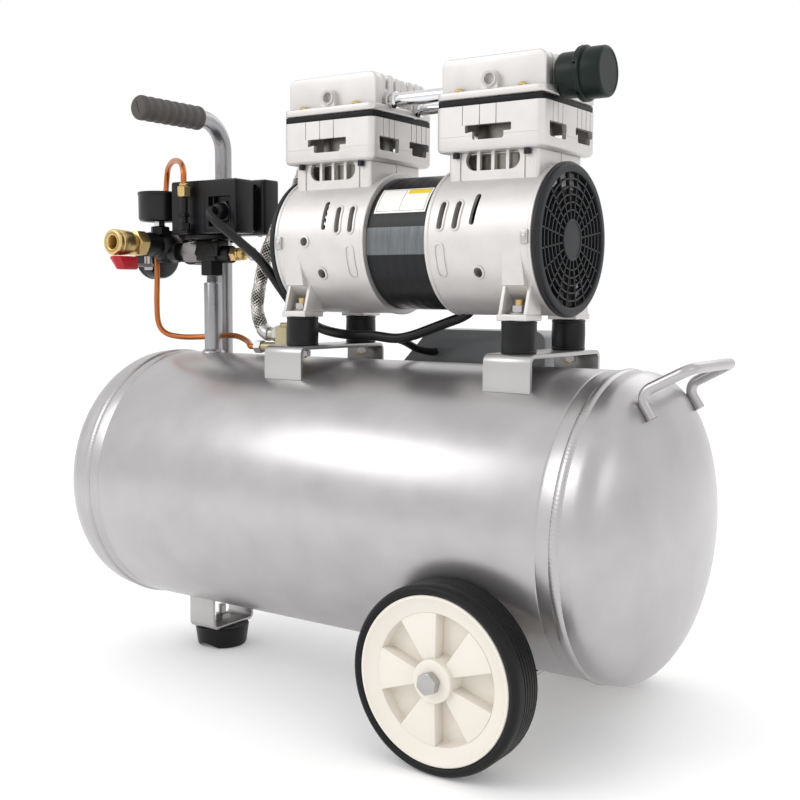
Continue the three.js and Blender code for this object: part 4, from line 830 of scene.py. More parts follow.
# ------------------------------------------------------------------ fans and covers
# A seven-bladed black nylon fan on each end of the shaft, behind a moulded charcoal cover with an open grille
# of fine rings and spokes. The mouldings are satin, a little lighter where their edges catch the light.
charcoal_plastic = grain(new_finish("moulded_charcoal_nylon", "#1B1C1E", 0.0, 0.46, Specular_IOR_Level=0.3),
                         0.6, 0.02, "#17181A",
                         "#222326", 0.4, 0.54)
cover_low, cover_high = span("right_fan_cover")
cover_radius = (cover_high.y - cover_low.y) / 2
cover_start, cover_end = cover_low.x - pump_x, cover_high.x - pump_x
grille_radius, hub_radius, bar_width, bar_depth, spoke_count = 57.0, 17.5, 1.3, 3.2, 20
blade_count = 7
for side, outward in (("left", -1), ("right", 1)):
    centre = (pump_x, 0, shaft_z)
    rim = [(cover_start, grille_radius - 0.5), (cover_start, cover_radius - 0.8),
           (cover_start + 0.8, cover_radius),
           (cover_start + 3.0, cover_radius), (cover_start + 3.7, cover_radius - 1.0),
           (cover_end - 0.9, cover_radius - 1.6), (cover_end - 0.2, cover_radius - 2.6),
           (cover_end, cover_radius - 4),
           (cover_end, grille_radius + 1.2), (cover_end - 0.9, grille_radius),
           (cover_end - 3.5, grille_radius - 0.5)]
    face = cover_end - 1.2
    grille = [spun("x", centre, [(outward * u, r) for u, r in rim], 128),
              spun("x", centre, [(outward * u, r) for u, r in (
                  (face - bar_depth, 0), (face - bar_depth, hub_radius), (face + 0.2, hub_radius),
                  (face + 0.7, hub_radius - 0.6), (face + 0.7, hub_radius - 1.6),
                  (face + 0.1, hub_radius - 2.2),
                  (face + 0.3, 0))], 72)]
    for radius in (24.5, 31.0, 37.5, 44.0, 50.5):
        grille.append(spun("x", centre, [(outward * u, r) for u, r in (
            (face - bar_depth, radius), (face, radius), (face, radius + bar_width),
            (face - bar_depth, radius + bar_width))], 96))
    for i in range(spoke_count):
        spoke = slab([(hub_radius - 1, -bar_width / 2), (grille_radius + 0.5, -bar_width / 2),
                      (grille_radius + 0.5, bar_width / 2), (hub_radius - 1, bar_width / 2)], "z", 0,
                      bar_depth)
        turn = Matrix.Rotation(2 * math.pi * (i + 0.5) / spoke_count, 4, "X")
        lie = Matrix(((0, 0, 1, 0), (1, 0, 0, 0), (0, 1, 0, 0), (0, 0, 0, 1)))
        start = pump_x + (face - bar_depth if outward > 0 else -face)
        spoke.transform(Matrix.Translation((start, 0, shaft_z)) @ turn @ lie)
        grille.append(spoke)
    make_piece(side + "_cover", together(*grille), charcoal_plastic, "machine", "black_plastic",
               side + "_fan_cover")

    low, high = span(side + "_fan")
    fan_x = (low.x + high.x) / 2
    fan_hub = [spun("x", (fan_x, 0, shaft_z), [(-8.6, 7.4), (-8.6, 12), (-7.6, 13), (7.6, 13), (8.6, 12),
                                               (8.6, 7.4)],
                    48)]
    for i in range(blade_count):
        blade = bmesh.new()
        bmesh.ops.create_grid(blade, x_segments=6, y_segments=8, size=0.5)
        for vertex in blade.verts:
            out = 12 + 40 * (vertex.co.y + 0.5)
            chord = (15 + 9 * (vertex.co.y + 0.5)) * vertex.co.x
            pitch = math.radians(58 - 16 * (vertex.co.y + 0.5))
            cup = 1.8 * (1 - 4 * vertex.co.x ** 2)
            vertex.co = (chord * math.cos(pitch) * outward, chord * math.sin(pitch) + cup, out)
        bmesh.ops.recalc_face_normals(blade, faces=blade.faces)
        bmesh.ops.solidify(blade, geom=blade.faces, thickness=1.4)
        turn = Matrix.Rotation(2 * math.pi * i / blade_count, 4, "X")
        blade.transform(Matrix.Translation((fan_x, 0, shaft_z)) @ turn)
        fan_hub.append(blade)
    make_piece(side + "_fan_wheel", together(*fan_hub), charcoal_plastic, "rotor", "black_plastic",
               side + "_fan")

# ------------------------------------------------------------------ cylinders
# A die-cast cooling jacket round each steel sleeve, split-moulded so that a faint parting line runs round it,
# with cooling windows, grooves above them and a drawn-in lower edge.
jacket_half_x, jacket_half_y, jacket_low, jacket_high, jacket_wall = 52.0, 49.0, 493.3, 531.0, 4.0
sleeve_radius, window_top, window_step, window_low, parting_z = 33.0, 514.8, 508.2, 502.4, 505.8
machined_sleeve = grain(new_finish("honed_steel_sleeve", "#8E8B86", 1.0, 0.35), 1.2, 0.01, "#7E7B76",
                        "#A09D98",
                        0.3, 0.45, stretch=(1, 1, 0.1))


def window(centre, wide, narrow):
    """A T-shaped cooling window: a wide upper part and a narrower lower one with round corners."""
    curl = bent([(centre - narrow, window_step + 1), (centre - narrow, window_low),
                 (centre + narrow, window_low),
                 (centre + narrow, window_step + 1)], 2.2, 4)
    top = bent([(centre + narrow, window_step), (centre + wide, window_step), (centre + wide, window_top),
                (centre - wide, window_top), (centre - wide, window_step), (centre - narrow, window_step)],
                1.0, 3)
    return [(p.x, p.y) for p in curl[:-1] + top[:-1]]


for side, outward in (("left", -1), ("right", 1)):
    x = pump_x + outward * head_offset
    jacket = slab([(x + a * jacket_half_x, b * jacket_half_y) for a,
                   b in ((-1, -1), (1, -1), (1, 1), (-1, 1))],
                  "z", jacket_low, jacket_high)
    corners = [e for e in jacket.edges if abs(e.verts[0].co.z - e.verts[1].co.z) > 1]
    bmesh.ops.bevel(jacket, geom=corners, offset=7, offset_type="OFFSET", segments=6, profile=0.5,
                    affect="EDGES",
                    clamp_overlap=True, material=-1)
    floor_edges = [e for e in jacket.edges if all(v.co.z < jacket_low + 0.1 for v in e.verts)]
    bmesh.ops.bevel(jacket, geom=floor_edges, offset=4.5, offset_type="OFFSET", segments=3, profile=0.5,
                    affect="EDGES", clamp_overlap=True, material=-1)
    hollow = slab([(x + a * (jacket_half_x - jacket_wall), b * (jacket_half_y - jacket_wall))
                   for a, b in ((-1, -1), (1, -1), (1, 1), (-1, 1))], "z", jacket_low + 6, jacket_high - 2)
    jacket = carve(jacket, hollow)
    cuts = []
    for row in (-1, 1):
        cuts.append(slab(window(x, 22, 15), "y", *sorted((row * 42, row * 60))))
        near_window = window(-23.4, 15.4, 15.0)
        far_window = window(25.6, 16.4, 12.0)
        for outline in (near_window, far_window):
            cuts.append(slab(outline, "x", *sorted((x + row * 45, x + row * 60))))
        for at in (-24.5, -8, 7.8):
            cuts.append(slab([(x + at - 0.45, window_top), (x + at + 0.45, window_top),
                              (x + at + 0.45, jacket_high + 1), (x + at - 0.45, jacket_high + 1)], "y",
                             *sorted((row * (jacket_half_y - 0.7), row * 60))))
        for at in (-33, -24, -15.5, 12, 20.5, 29, 37):
            cuts.append(slab([(at - 0.45, window_top - 1), (at + 0.45, window_top - 1),
                              (at + 0.45, jacket_high + 1),
                              (at - 0.45, jacket_high + 1)], "x",
                             *sorted((x + row * (jacket_half_x - 0.7), x + row * 60))))
    jacket = carve(jacket, together(*cuts))
    seam_outer = slab([(x + a * 60, b * 60) for a, b in ((-1, -1), (1, -1), (1, 1), (-1, 1))], "z",
                      parting_z - 0.2, parting_z + 0.2)
    seam_inner = slab([(x + a * (jacket_half_x - 0.3), b * (jacket_half_y - 0.3))
                       for a, b in ((-1, -1), (1, -1), (1, 1), (-1, 1))], "z", parting_z - 1, parting_z + 1)
    jacket = carve(jacket, carve(seam_outer, seam_inner))
    make_piece(side + "_jacket", jacket, cast_aluminium, "machine", "cast_aluminium", side + "_cylinder",
               smooth=30)
    make_piece(side + "_sleeve", spun("z", (x, 0, 0), [
        (475, 30.1), (475, sleeve_radius), (jacket_high - 0.5, sleeve_radius), (jacket_high - 0.5, 30.1)],
        72),
        machined_sleeve, "machine", "steel")

# ------------------------------------------------------------------ head gaskets and heads
# A black rubber gasket and a die-cast head are clamped on each jacket. The head has a rounded flange, a tall
# front wall with a threaded port, and rounded fins behind it. Brass pan-head screws hold it down.
gasket_rubber = grain(new_finish("black_sheet_gasket", "#0E0E10", 0.0, 0.5, Specular_IOR_Level=0.25), 0.5,
                      0.02, "#0B0B0D", "#131315",
                      0.42, 0.58)
flange_low, flange_high, head_high = 537.1, 543.6, 572.0
wall_front, wall_back, wall_half = 42.0, 31.0, 49.6
port_z, port_radius, port_bore, port_reach = 551.3, 7.7, 4.5, 8.0
fin_pitch, fin_thick, fin_half = 10.6, 7.4, 46.5
tube_rows = {"front": (-20.0, 548.0), "rear": (20.0, 544.0)}
for side, outward in (("left", -1), ("right", 1)):
    x = pump_x + outward * head_offset
    low, high = span(side + "_head_gasket")
    band = slab([(low.x, low.y), (high.x, low.y), (high.x, high.y), (low.x, high.y)], "z", low.z, high.z)
    make_piece(side + "_gasket", rounded(band, 0.8, 2), gasket_rubber, "machine", "mount_rubber",
               side + "_head_gasket")

    flange = slab([(x + a * jacket_half_x, b * jacket_half_y) for a,
                   b in ((-1, -1), (1, -1), (1, 1), (-1, 1))],
                  "z", flange_low, flange_high)
    corners = [e for e in flange.edges if abs(e.verts[0].co.z - e.verts[1].co.z) > 1]
    bmesh.ops.bevel(flange, geom=corners, offset=7, offset_type="OFFSET", segments=6, profile=0.5,
                    affect="EDGES",
                    clamp_overlap=True, material=-1)
    head = [rounded(flange, 1.6, 3)]
    wall = slab([(x - wall_half, flange_high - 1), (x + wall_half, flange_high - 1),
                 (x + wall_half, head_high),
                 (x - wall_half, head_high)], "y", -wall_front, -wall_back)
    upper = [e for e in wall.edges if abs(e.verts[0].co.y - e.verts[1].co.y) > 1 and e.verts[0].co.z > 560]
    bmesh.ops.bevel(wall, geom=upper, offset=7, offset_type="OFFSET", segments=6, profile=0.5, affect="EDGES",
                    clamp_overlap=True, material=-1)
    wall = rounded(wall, 1.4, 3, 50)
    port = bent([(x + port_radius, flange_high - 1), (x + port_radius, port_z + port_radius),
                 (x - port_radius, port_z + port_radius), (x - port_radius, flange_high - 1)],
                 port_radius - 0.01, 12)
    snout = together(slab(port, "y", -wall_front - port_reach + 2.6, -wall_front + 1),
                     drum("y", (x, 0, port_z), -wall_front - port_reach, -wall_front, port_radius - 0.9, 0.7))
    bore = spun("y", (x, 0, port_z), [(-60, 0), (-60, port_bore + 12),
                                      (-wall_front - port_reach + 1.4, port_bore),
                                      (-wall_front - 0.5, port_bore), (-wall_front - 0.5, 0)], 48)
    head += [wall, carve(snout, bore)]
    core = slab([(x + a * fin_half, y) for a, y in ((-1, -wall_back - 1), (1, -wall_back - 1), (1, 40),
                                                    (-1, 40))],
                "z", flange_high - 1, 560)
    head.append(rounded(core, 3.0, 4, 60))
    for i in range(7):
        at = -24.8 + fin_pitch * i
        reach = fin_half + (2.2 if i % 3 else 0.8)
        fin = slab([(x + a * reach, y) for a, y in ((-1, at - fin_thick / 2), (1, at - fin_thick / 2),
                                                    (1, at + fin_thick / 2), (-1, at + fin_thick / 2))], "z",
                   flange_high - 0.5, head_high - (0.2 if i < 2 else 1.6))
        head.append(rounded(fin, 3.3, 4, 60))
    for row, (y, z) in tube_rows.items():
        inner = x - outward * wall_half
        outer = x - outward * (wall_half + 2.2)
        head.append(drum("x", (0, y, z), *sorted((inner + outward * 8, outer)), 7.6, 0.8))
    cylinder_x = x + outward * -fin_half
    head.append(drum("y", (cylinder_x + outward * 9.0, 0, 563.2), -1, 27, 8.8, 1.0))
    make_piece(side + "_head", together(*head), cast_aluminium, "machine", "cast_aluminium",
               side + "_cylinder_head", smooth=32)
    screws = []
    for s in (-1, 1):
        for y in (-45.4, 44.6):
            screw = spun("z", (x + s * 30, y, flange_high - 0.2),
                         [(0, 0), (0, 3.5), (1.3, 3.5), (2.4, 2.7), (2.9, 1.4),
                                                                   (2.9, 0)], 24)
            cross = together(slab([(-0.4, -2), (0.4, -2), (0.4, 2), (-0.4, 2)], "z", 1.8, 4),
                             slab([(-2, -0.4), (2, -0.4), (2, 0.4), (-2, 0.4)], "z", 1.8, 4))
            cross.transform(Matrix.Translation((x + s * 30, y, flange_high - 0.2)))
            screws.append(carve(screw, cross))
    make_piece(side + "_head_screws", together(*screws), turned_brass, "machine", "brass")

# ------------------------------------------------------------------ transfer tubes
# Two chrome-plated tubes carry air between the heads, each pushed into a sealing collar at both ends.
bright_chrome = grain(new_finish("bright_chrome_plate", "#D9DADC", 1.0, 0.09), 6.0, 0.006, "#CFD0D2",
                      "#DFE0E2",
                      0.06, 0.13)
for row, (y, z) in tube_rows.items():
    low, high = span(row + "_transfer_tube")
    radius = 6.2 if row == "front" else 4.75
    reach = (high.x - low.x) / 2
    profile = [(-reach, 0), (-reach, radius + 1.0), (-reach + 2.5, radius + 1.4), (-reach + 5, radius + 1.4),
               (-reach + 6, radius + 0.6), (-reach + 6.6, radius)]
    profile += [(-u, r) for u, r in profile[::-1]]
    make_piece(row + "_transfer_pipe", spun("x", (pump_x, y, z), profile, 64), bright_chrome, "machine",
               "chrome",
               row + "_transfer_tube")

# ------------------------------------------------------------------ intake filter
# A moulded filter housing in green-black nylon screws into the right-hand head: a neck, a drum, a clamping
# ring with a notch and a cap with a flat face. The plastic is satin, with a fine spark-eroded grain.
filter_plastic = grain(new_finish("moulded_green_black_nylon", "#0A1512", 0.0, 0.4, Specular_IOR_Level=0.25),
                       0.5,
                       0.03, "#08110F", "#0F1D19", 0.34, 0.5)
low, high = span("intake_filter")
filter_y, filter_z = (low.y + high.y) / 2, (low.z + high.z) / 2
housing = spun("x", (low.x, filter_y, filter_z), [
    (0, 0), (0, 8), (3.7, 8), (4.0, 16.5), (5.4, 18.1), (7, 18.5), (20.4, 18.5), (21.2, 19.2), (21.7, 21.7),
    (22.6, 22.4), (26.6, 22.4), (27.5, 21.7), (27.9, 20.2), (29.0, 20.0), (29.2, 20.5), (42.6, 20.5),
    (43.9, 19.9),
    (44.6, 18.7), (44.7, 17.6), (44.2, 17.0), (44.2, 0)], 96)
notches = [slab([(low.x + 20.5, -2.2), (low.x + 25.2, -2.2), (low.x + 25.2, 2.2), (low.x + 20.5, 2.2)], "z",
                19.6, 30)
           for _ in range(6)]
for i, notch in enumerate(notches):
    turn = Matrix.Rotation(math.radians(20 + 60 * i), 4, "X")
    notch.transform(Matrix.Translation((0, filter_y, filter_z)) @ turn)
make_piece("filter_housing", carve(housing, together(*notches)), filter_plastic, "machine", "filter_plastic",
           "intake_filter")

# ------------------------------------------------------------------ standpipe
# A length of steel pipe welded upright on the receiver carries the fittings. A close-threaded nipple joins it
# to the manifold. It is sprayed with the receiver's silver, drawn darker here as painted shade.
low, high = span("standpipe")
pipe_x, pipe_radius, pipe_top, nipple_radius = (low.x + high.x) / 2, 9.0, 385.0, 6.5
threads = []
for i in range(5):
    at = pipe_top + 0.8 + 1.3 * i
    threads += [(at, nipple_radius - 0.6), (at + 0.65, nipple_radius)]
pipe_weld = spun("z", (pipe_x, 0, 0), [
    (low.z - 2, pipe_radius - 1), (low.z - 2, 12.4), (low.z + 0.6, 12.0), (low.z + 2.2, 10.6),
    (low.z + 3.4, 9.1),
    (low.z + 3.4, pipe_radius - 1)], 48)
make_piece("standpipe_tube", together(spun("z", (pipe_x, 0, 0), [
    (low.z, 4.5), (low.z, pipe_radius), (pipe_top - 1.2, pipe_radius), (pipe_top - 0.3, pipe_radius - 0.5),
    (pipe_top, pipe_radius - 1.4), (pipe_top, nipple_radius - 0.6)] + threads +
    [(high.z, nipple_radius - 0.8), (high.z, 4.5)], 64), pipe_weld), shaded_silver_tube, "machine", "tank_paint",
    "standpipe")

# ------------------------------------------------------------------ manifold and pressure switch
# A black-finished zinc block screwed on the nipple, with the switch's diaphragm flange on top. The switch is a
# black phenolic base with a recess for its cable gland, and a separate cover behind it.
black_casting = grain(new_finish("black_epoxy_casting", "#0C0C0E", 0.0, 0.42, Specular_IOR_Level=0.3), 0.7,
                      0.03, "#0A0A0C", "#121214",
                      0.34, 0.52)
black_phenolic = grain(new_finish("moulded_black_phenolic", "#0D0D10", 0.0, 0.34, Specular_IOR_Level=0.28),
                       0.8,
                       0.015, "#0A0A0D", "#131317", 0.27, 0.44)


def box_between(low, high, edge=0.0, steps=3):
    """A rectangular block between two corners, with its edges rounded."""
    shape = slab([(low[0], low[1]), (high[0], low[1]), (high[0], high[1]), (low[0], high[1])], "z", low[2],
                 high[2])
    return rounded(shape, edge, steps) if edge else shape


low, high = span("manifold")
half_x, half_y, block_low, collar_flats = 13.5, 11.0, 407.0, 22.0
block = box_between((pipe_x - half_x, -half_y, block_low), (pipe_x + half_x, half_y, high.z), 1.6)
side_plate = box_between((pipe_x + 4, -half_y - 1.4, 412), (pipe_x + half_x + 5, -half_y + 4, 426), 0.8)
ear = drum("x", (0, 0, 414), pipe_x + 10, high.x, 9.0, 0.8)
plugs = [drum("y", (pipe_x + 11.4, 0, 419), -half_y - 2.2, -half_y, 3.2, 0.5),
         drum("x", (0, 0, 417.5), low.x, pipe_x - 10, 10.0, 0.8)]
make_piece("manifold_block", together(hexagon("z", (pipe_x, 0, 0), low.z, block_low + 1, collar_flats, 1.2,
                                              8),
                                      block, side_plate, ear, *plugs), black_casting, "machine",
                                      "black_plastic",
           "manifold")

low, high = span("pressure_switch_base")
front, split, back, core_inset = -30.0, -3.0, 11.7, 6.0
switch_low, switch_high = 434.0, 488.0
case = box_between((low.x, front, switch_low), (high.x, split, switch_high), 2.2, 4)
gland_x, gland_z, recess_half, recess_depth = tank_x - 170.0, tank_z + 274.0, 15.0, 8.0
recess = box_between((gland_x - recess_half, front - 2, gland_z - recess_half),
                     (gland_x + recess_half, front + recess_depth, gland_z + recess_half))
case = carve(case, recess)
step = box_between((low.x - 1, front - 1, switch_low - 1),
                   (gland_x - recess_half - 6, front + 1.2, switch_high + 1))
case = carve(case, step)
case = rounded(case, 0.4, 2, 60)
core = box_between((low.x + core_inset, split - 1, switch_low + 3),
                   (high.x - core_inset, back, switch_high - 3), 1.5)
flange = spun("z", (pipe_x, 0, 0), [(429.2, 0), (429.2, 11), (429.4, 29), (430.0, 30), (433.0, 30),
                                    (433.6, 29.2),
                                    (434.4, 27), (434.4, 0)], 72)
bolts = [drum("z", (x, y, 0), 427.4, 429.4, 2.6, 0.5) for x, y in ring_of(6, 26.0, (pipe_x, 0), 20)]
gland_base = together(hexagon("y", (gland_x, front + recess_depth, gland_z), -4, 0.5, 19, 1.0, 10),
                      spun("y", (gland_x, front + recess_depth, gland_z),
                           [(-4, 0), (-4, 8.5), (-11, 8.2), (-13, 7.2), (-14.6, 6.2), (-15, 5.4), (-15, 0)],
                           48))
ribs = [box_between((gland_x + s * 11 - 0.8, front + 3, gland_z - 14.8),
                    (gland_x + s * 11 + 0.8, front + recess_depth + 0.5, gland_z + 14.8)) for s in (-1, 1)]
make_piece("switch_base", together(case, core, *ribs), black_phenolic, "machine", "black_plastic",
           "pressure_switch_base", smooth=30)
make_piece("switch_flange", together(flange, *bolts), black_casting, "machine", "black_plastic")
make_piece("switch_gland", gland_base, black_phenolic, "machine", "black_plastic")

low, high = span("pressure_switch_cover")
cover = slab([(low.x, low.z), (high.x, low.z), (high.x, high.z), (low.x, high.z)], "y", low.y, high.y)
corners = [e for e in cover.edges if abs(e.verts[0].co.y - e.verts[1].co.y) < 1 and e.verts[0].co.y > high.y - 1]
bmesh.ops.bevel(cover, geom=corners, offset=6, offset_type="OFFSET", segments=1, profile=0.5, affect="EDGES",
                clamp_overlap=True, material=-1)
cover = rounded(cover, 1.2, 3, 20)
lip = box_between((low.x + 1.4, low.y - 4, low.z + 1.4), (high.x - 1.4, low.y + 2, high.z - 1.4), 0.8)
vents = [slab([(low.x + 16 + 6 * i, low.z + 10), (low.x + 18.4 + 6 * i, low.z + 10),
               (low.x + 18.4 + 6 * i, low.z +
               26), (low.x + 16 + 6 * i, low.z + 26)], "y", high.y - 1.6, high.y + 2) for i in range(4)]
make_piece("switch_cover", together(carve(cover, together(*vents)), lip), black_phenolic, "machine",
           "black_plastic", "pressure_switch_cover", smooth=30)
make_piece("switch_cover_screws", together(*[
    spun("z", (x, low.y + 8, low.z + 0.4), [(0, 0), (0, 3), (-1.4, 2.8), (-2.2, 1.6), (-2.3, 0)], 24)
    for x in (low.x + 14, high.x - 14)]), bright_zinc, "machine", "steel")

low, high = span("switch_lever")
lever_x, lever_z = tank_x - 192.0, tank_z + 284.0
arm = slab([(lever_x - 3.2, lever_z - 24), (lever_x + 3.2, lever_z - 24), (lever_x + 4.6, lever_z),
            (lever_x - 4.6,
            lever_z)], "y", low.y, high.y)
red_enamel = grain(new_finish("moulded_red_nylon", "#B3262B", 0.0, 0.35), 0.6, 0.015, "#A82227", "#BC2C31",
                   0.3, 0.42)
make_piece("switch_rocker", together(rounded(arm, 1.2, 3),
                                     drum("y", (lever_x, 0, lever_z), low.y, high.y, 7.8, 0.9)),
           red_enamel, "switch_lever", "black_plastic", "switch_lever")

# ------------------------------------------------------------------ regulator
# A black cast regulator with four round arms: a dull union nut to the manifold, a gauge on top and at the
# side, the coupler in front and the pressure knob behind.
low, high = span("regulator_body")
hub = Vector((tank_x - 268.0, -8.0, tank_z + 241.0))
arm_radius, ball_radius, union_flats, union_z = 11.0, 17.0, 20.0, tank_z + 235.5
side_gauge_y, side_gauge_z = 10.0, tank_z + 233.0
union_start, union_end = tank_x - 248.5, tank_x - 222.5
ball = spun("y", hub, [(ball_radius * math.sin(a), ball_radius * math.cos(a)) for a in
                       (math.radians(-90 + 180 * i / 24) for i in range(25))], 64)
arms = [drum("y", (hub.x, 0, hub.z), low.y, high.y, arm_radius, 1.0),
        drum("y", (hub.x, 0, tank_z + 243), -43.0, low.y + 6, 12.0, 1.6),
        drum("z", (hub.x, hub.y, 0), low.z, high.z - 4, 9.4, 1.0),
        hexagon("z", (hub.x, -17, 0), high.z - 9, high.z, 18, 1.0, 25),
        drum("x", (0, hub.y, union_z), hub.x, union_start + 1, 10.4, 0.8),
        drum("x", (0, side_gauge_y, side_gauge_z), low.x, hub.x, 8.2, 0.8),
        drum("y", (hub.x, 0, hub.z), 12, high.y, 15.5, 1.2),
        drum("z", (hub.x, hub.y, 0), low.z, low.z + 5, 7.0, 0.6)]
make_piece("regulator_casting", together(ball, *arms), black_casting, "machine", "black_plastic",
           "regulator_body")
union = together(hexagon("x", (0, 0, union_z), union_start + 4, union_end - 0.4, union_flats, 1.3, 12),
                 drum("x", (0, 0, union_z), union_start, union_start + 4.6, 9.2, 0.9))
dull_nickel = grain(new_finish("dull_nickel_plate", "#807E7D", 0.95, 0.36), 1.6, 0.012, "#716F6E", "#908E8D",
                    0.3, 0.44)
make_piece("union_nut", union, dull_nickel, "machine", "steel")

low, high = span("regulator_knob")
knob_radius = 18.0
knob_profile = [(low.y, 0), (low.y, 14.5), (low.y + 1, 15.4), (low.y + 6, 15.6), (low.y + 7.5, knob_radius),
                (high.y - 2.6, knob_radius), (high.y - 0.8, knob_radius - 1.0), (high.y, knob_radius - 2.8),
                (high.y, 0)]
knob = spun("y", (hub.x, 0, hub.z), [(a, r) for a, r in knob_profile], 72)
flutes = [drum("y", (x, 0, z), low.y + 9, high.y + 1, 1.5, 0, 12)
          for x, z in ring_of(18, knob_radius + 0.6, (hub.x, hub.z))]
make_piece("pressure_knob", carve(knob, together(*flutes)), black_phenolic, "regulator_knob", "black_plastic",
           "regulator_knob")

# ------------------------------------------------------------------ gauges
# Two bourdon gauges in pressed black cases with a rolled rim, a clear lens, a white dial with a plain scale and
# a red pointer. Each stands on a plated brass stem.
gauge_black = grain(new_finish("black_enamelled_steel", "#0C0C0E", 0.0, 0.28, Specular_IOR_Level=0.35),
                    1.4, 0.006, "#09090B", "#121214", 0.26, 0.38)
dial_white = new_finish("white_printed_dial", "#F0EFEA", 0.0, 0.5)
dial_ink = new_finish("black_dial_ink", "#1A1A1A", 0.0, 0.5)
pointer_red = new_finish("red_pointer_enamel", "#C02A22", 0.0, 0.4)
lens_clear = new_finish("clear_polycarbonate_lens", "#FFFFFF", 0.0, 0.04, Transmission_Weight=1.0, IOR=1.58)


def scale_marks(radius, highest):
    """A dial's ticks and numbers in the x-y plane, facing +z, over three quarters of a turn."""
    marks = []
    for i in range(highest * 5 + 1):
        angle = math.radians(225 - 270 * i / (highest * 5))
        inner = radius * (0.74 if i % 5 == 0 else 0.8)
        tick = slab([(inner, -0.18), (radius * 0.87, -0.18), (radius * 0.87, 0.18), (inner, 0.18)], "z", 0,
                    0.12)
        tick.transform(Matrix.Rotation(angle, 4, "Z"))
        marks.append(tick)
    for value in range(0, highest + 1, 2):
        angle = math.radians(225 - 270 * value / highest)
        letters = bpy.data.curves.new("number", "FONT")
        letters.body = str(value)
        letters.size = radius * 0.24
        letters.align_x = "CENTER"
        letters.align_y = "CENTER"
        letters.extrude = 0.06
        holder = bpy.data.objects.new("number", letters)
        mesh = bpy.data.meshes.new_from_object(holder)
        digit = bmesh.new()
        digit.from_mesh(mesh)
        bmesh.ops.remove_doubles(digit, verts=digit.verts, dist=1e-4)
        digit.transform(Matrix.Translation((radius * 0.58 * math.cos(angle), radius * 0.58 * math.sin(angle),
                                            0.06)))
        bpy.data.objects.remove(holder)
        bpy.data.curves.remove(letters)
        bpy.data.meshes.remove(mesh)
        marks.append(digit)
    return together(*marks)


def gauge(name, node, radius, depth, pose, highest, reading):
    """A gauge whose case runs from z = 0 back to -depth before pose puts it in place."""
    shell = spun("z", (0, 0, 0), [
        (-3.2, radius - 2.4), (-0.4, radius - 2.4), (0, radius - 1.8), (-0.2, radius - 0.6), (-0.9, radius),
        (-3.4, radius), (-3.8, radius - 0.5), (-4.4, radius - 0.6), (-depth + 3, radius - 0.8),
        (-depth + 1, radius - 1.8), (-depth, radius - 4), (-depth, 0), (-depth + 1.5, 0),
        (-depth + 1.5, radius - 5),
        (-3.2, radius - 3)], 96)
    plate = drum("z", (0, 0, 0), -3.6, -3.0, radius - 2.5)
    lens = spun("z", (0, 0, 0), [(-1.6, 0), (-1.6, radius - 2.6), (-0.8, radius - 2.6), (-0.5, radius * 0.5),
                                 (-0.4, 0)], 72)
    hand = slab([(-0.25 * radius, -0.7), (0, -0.9), (0.72 * radius, -0.2), (0.72 * radius, 0.2), (0, 0.9),
                 (-0.25 * radius, 0.7)], "z", -2.7, -2.4)
    hand.transform(Matrix.Rotation(math.radians(225 - 270 * reading / highest), 4, "Z"))
    cap = drum("z", (0, 0, 0), -2.9, -1.9, radius * 0.09, 0.3)
    marks = scale_marks(radius - 1.5, highest)
    marks.transform(Matrix.Translation((0, 0, -3.0)))
    for suffix, shape, finish, nodes in (("case", shell, gauge_black, (node,)),
                                         ("dial", plate, dial_white, ()),
                                         ("scale", marks, dial_ink, ()),
                                         ("pointer", together(hand, cap), pointer_red,
                                                                          ()),
                                                                          ("lens", lens, lens_clear, ())):
        shape.transform(pose)
        make_piece(f"{name}_{suffix}", shape, finish, "machine", "black_plastic", *nodes)


low, high = span("outlet_gauge")
gauge("outlet_gauge", "outlet_gauge", 23.0, 31.0,
      Matrix.Translation((hub.x, -17, high.z)) @ Matrix.Rotation(math.radians(200), 4, "Z"), 10, 0.0)
low, high = span("tank_gauge")
face_left = Matrix(((0, 0, -1, 0), (-1, 0, 0, 0), (0, 1, 0, 0), (0, 0, 0, 1)))
side_gauge_radius, side_gauge_depth, side_stem = 26.0, 18.0, 6.4
gauge("tank_gauge", "tank_gauge", side_gauge_radius, side_gauge_depth,
      Matrix.Translation((high.x - side_stem - side_gauge_depth, side_gauge_y, side_gauge_z)) @ face_left, 10,
      0.0)
make_piece("gauge_stems", together(
    drum("z", (hub.x, -17, 0), 444.3, 450, 5.0, 0.3), hexagon("z", (hub.x, -17, 0), 444.3, 449.4, 11, 0.6, 5),
    drum("x", (0, side_gauge_y, side_gauge_z), high.x - 8, high.x, 5.0, 0.3)), bright_chrome, "machine",
    "steel")

# ------------------------------------------------------------------ outlet coupler
# A quick-release coupler turned from brass bar: a hexagon for the spanner, a spigot with a lipped mouth and a
# sprung sleeve with a lipped front edge and a grip groove.
low, high = span("coupler_body")
coupler_z, mouth_y = tank_z + 243.0, low.y
bore_radius, spigot_radius, hex_start, hex_end = 6.6, 9.0, -56.3, -42.6
coupler = spun("y", (hub.x, 0, coupler_z), [
    (mouth_y + 24, 0), (mouth_y + 24, bore_radius), (mouth_y + 1.8, bore_radius),
    (mouth_y + 0.4, bore_radius + 0.8),
    (mouth_y, bore_radius + 1.4), (mouth_y, spigot_radius - 0.3), (mouth_y + 0.3, spigot_radius),
    (hex_start - 0.5, spigot_radius), (hex_start + 1, spigot_radius + 0.5), (hex_start + 1, 0)], 72)
spanner_hex = hexagon("y", (hub.x, hex_start, coupler_z), 0, hex_end - hex_start, 24, 1.8, 5)
make_piece("coupler_core", together(coupler, spanner_hex), turned_brass, "machine", "brass", "coupler_body")
low, high = span("coupler_sleeve")
sleeve_start, sleeve_inner, sleeve_radius = mouth_y + 0.4, 9.5, 13.3
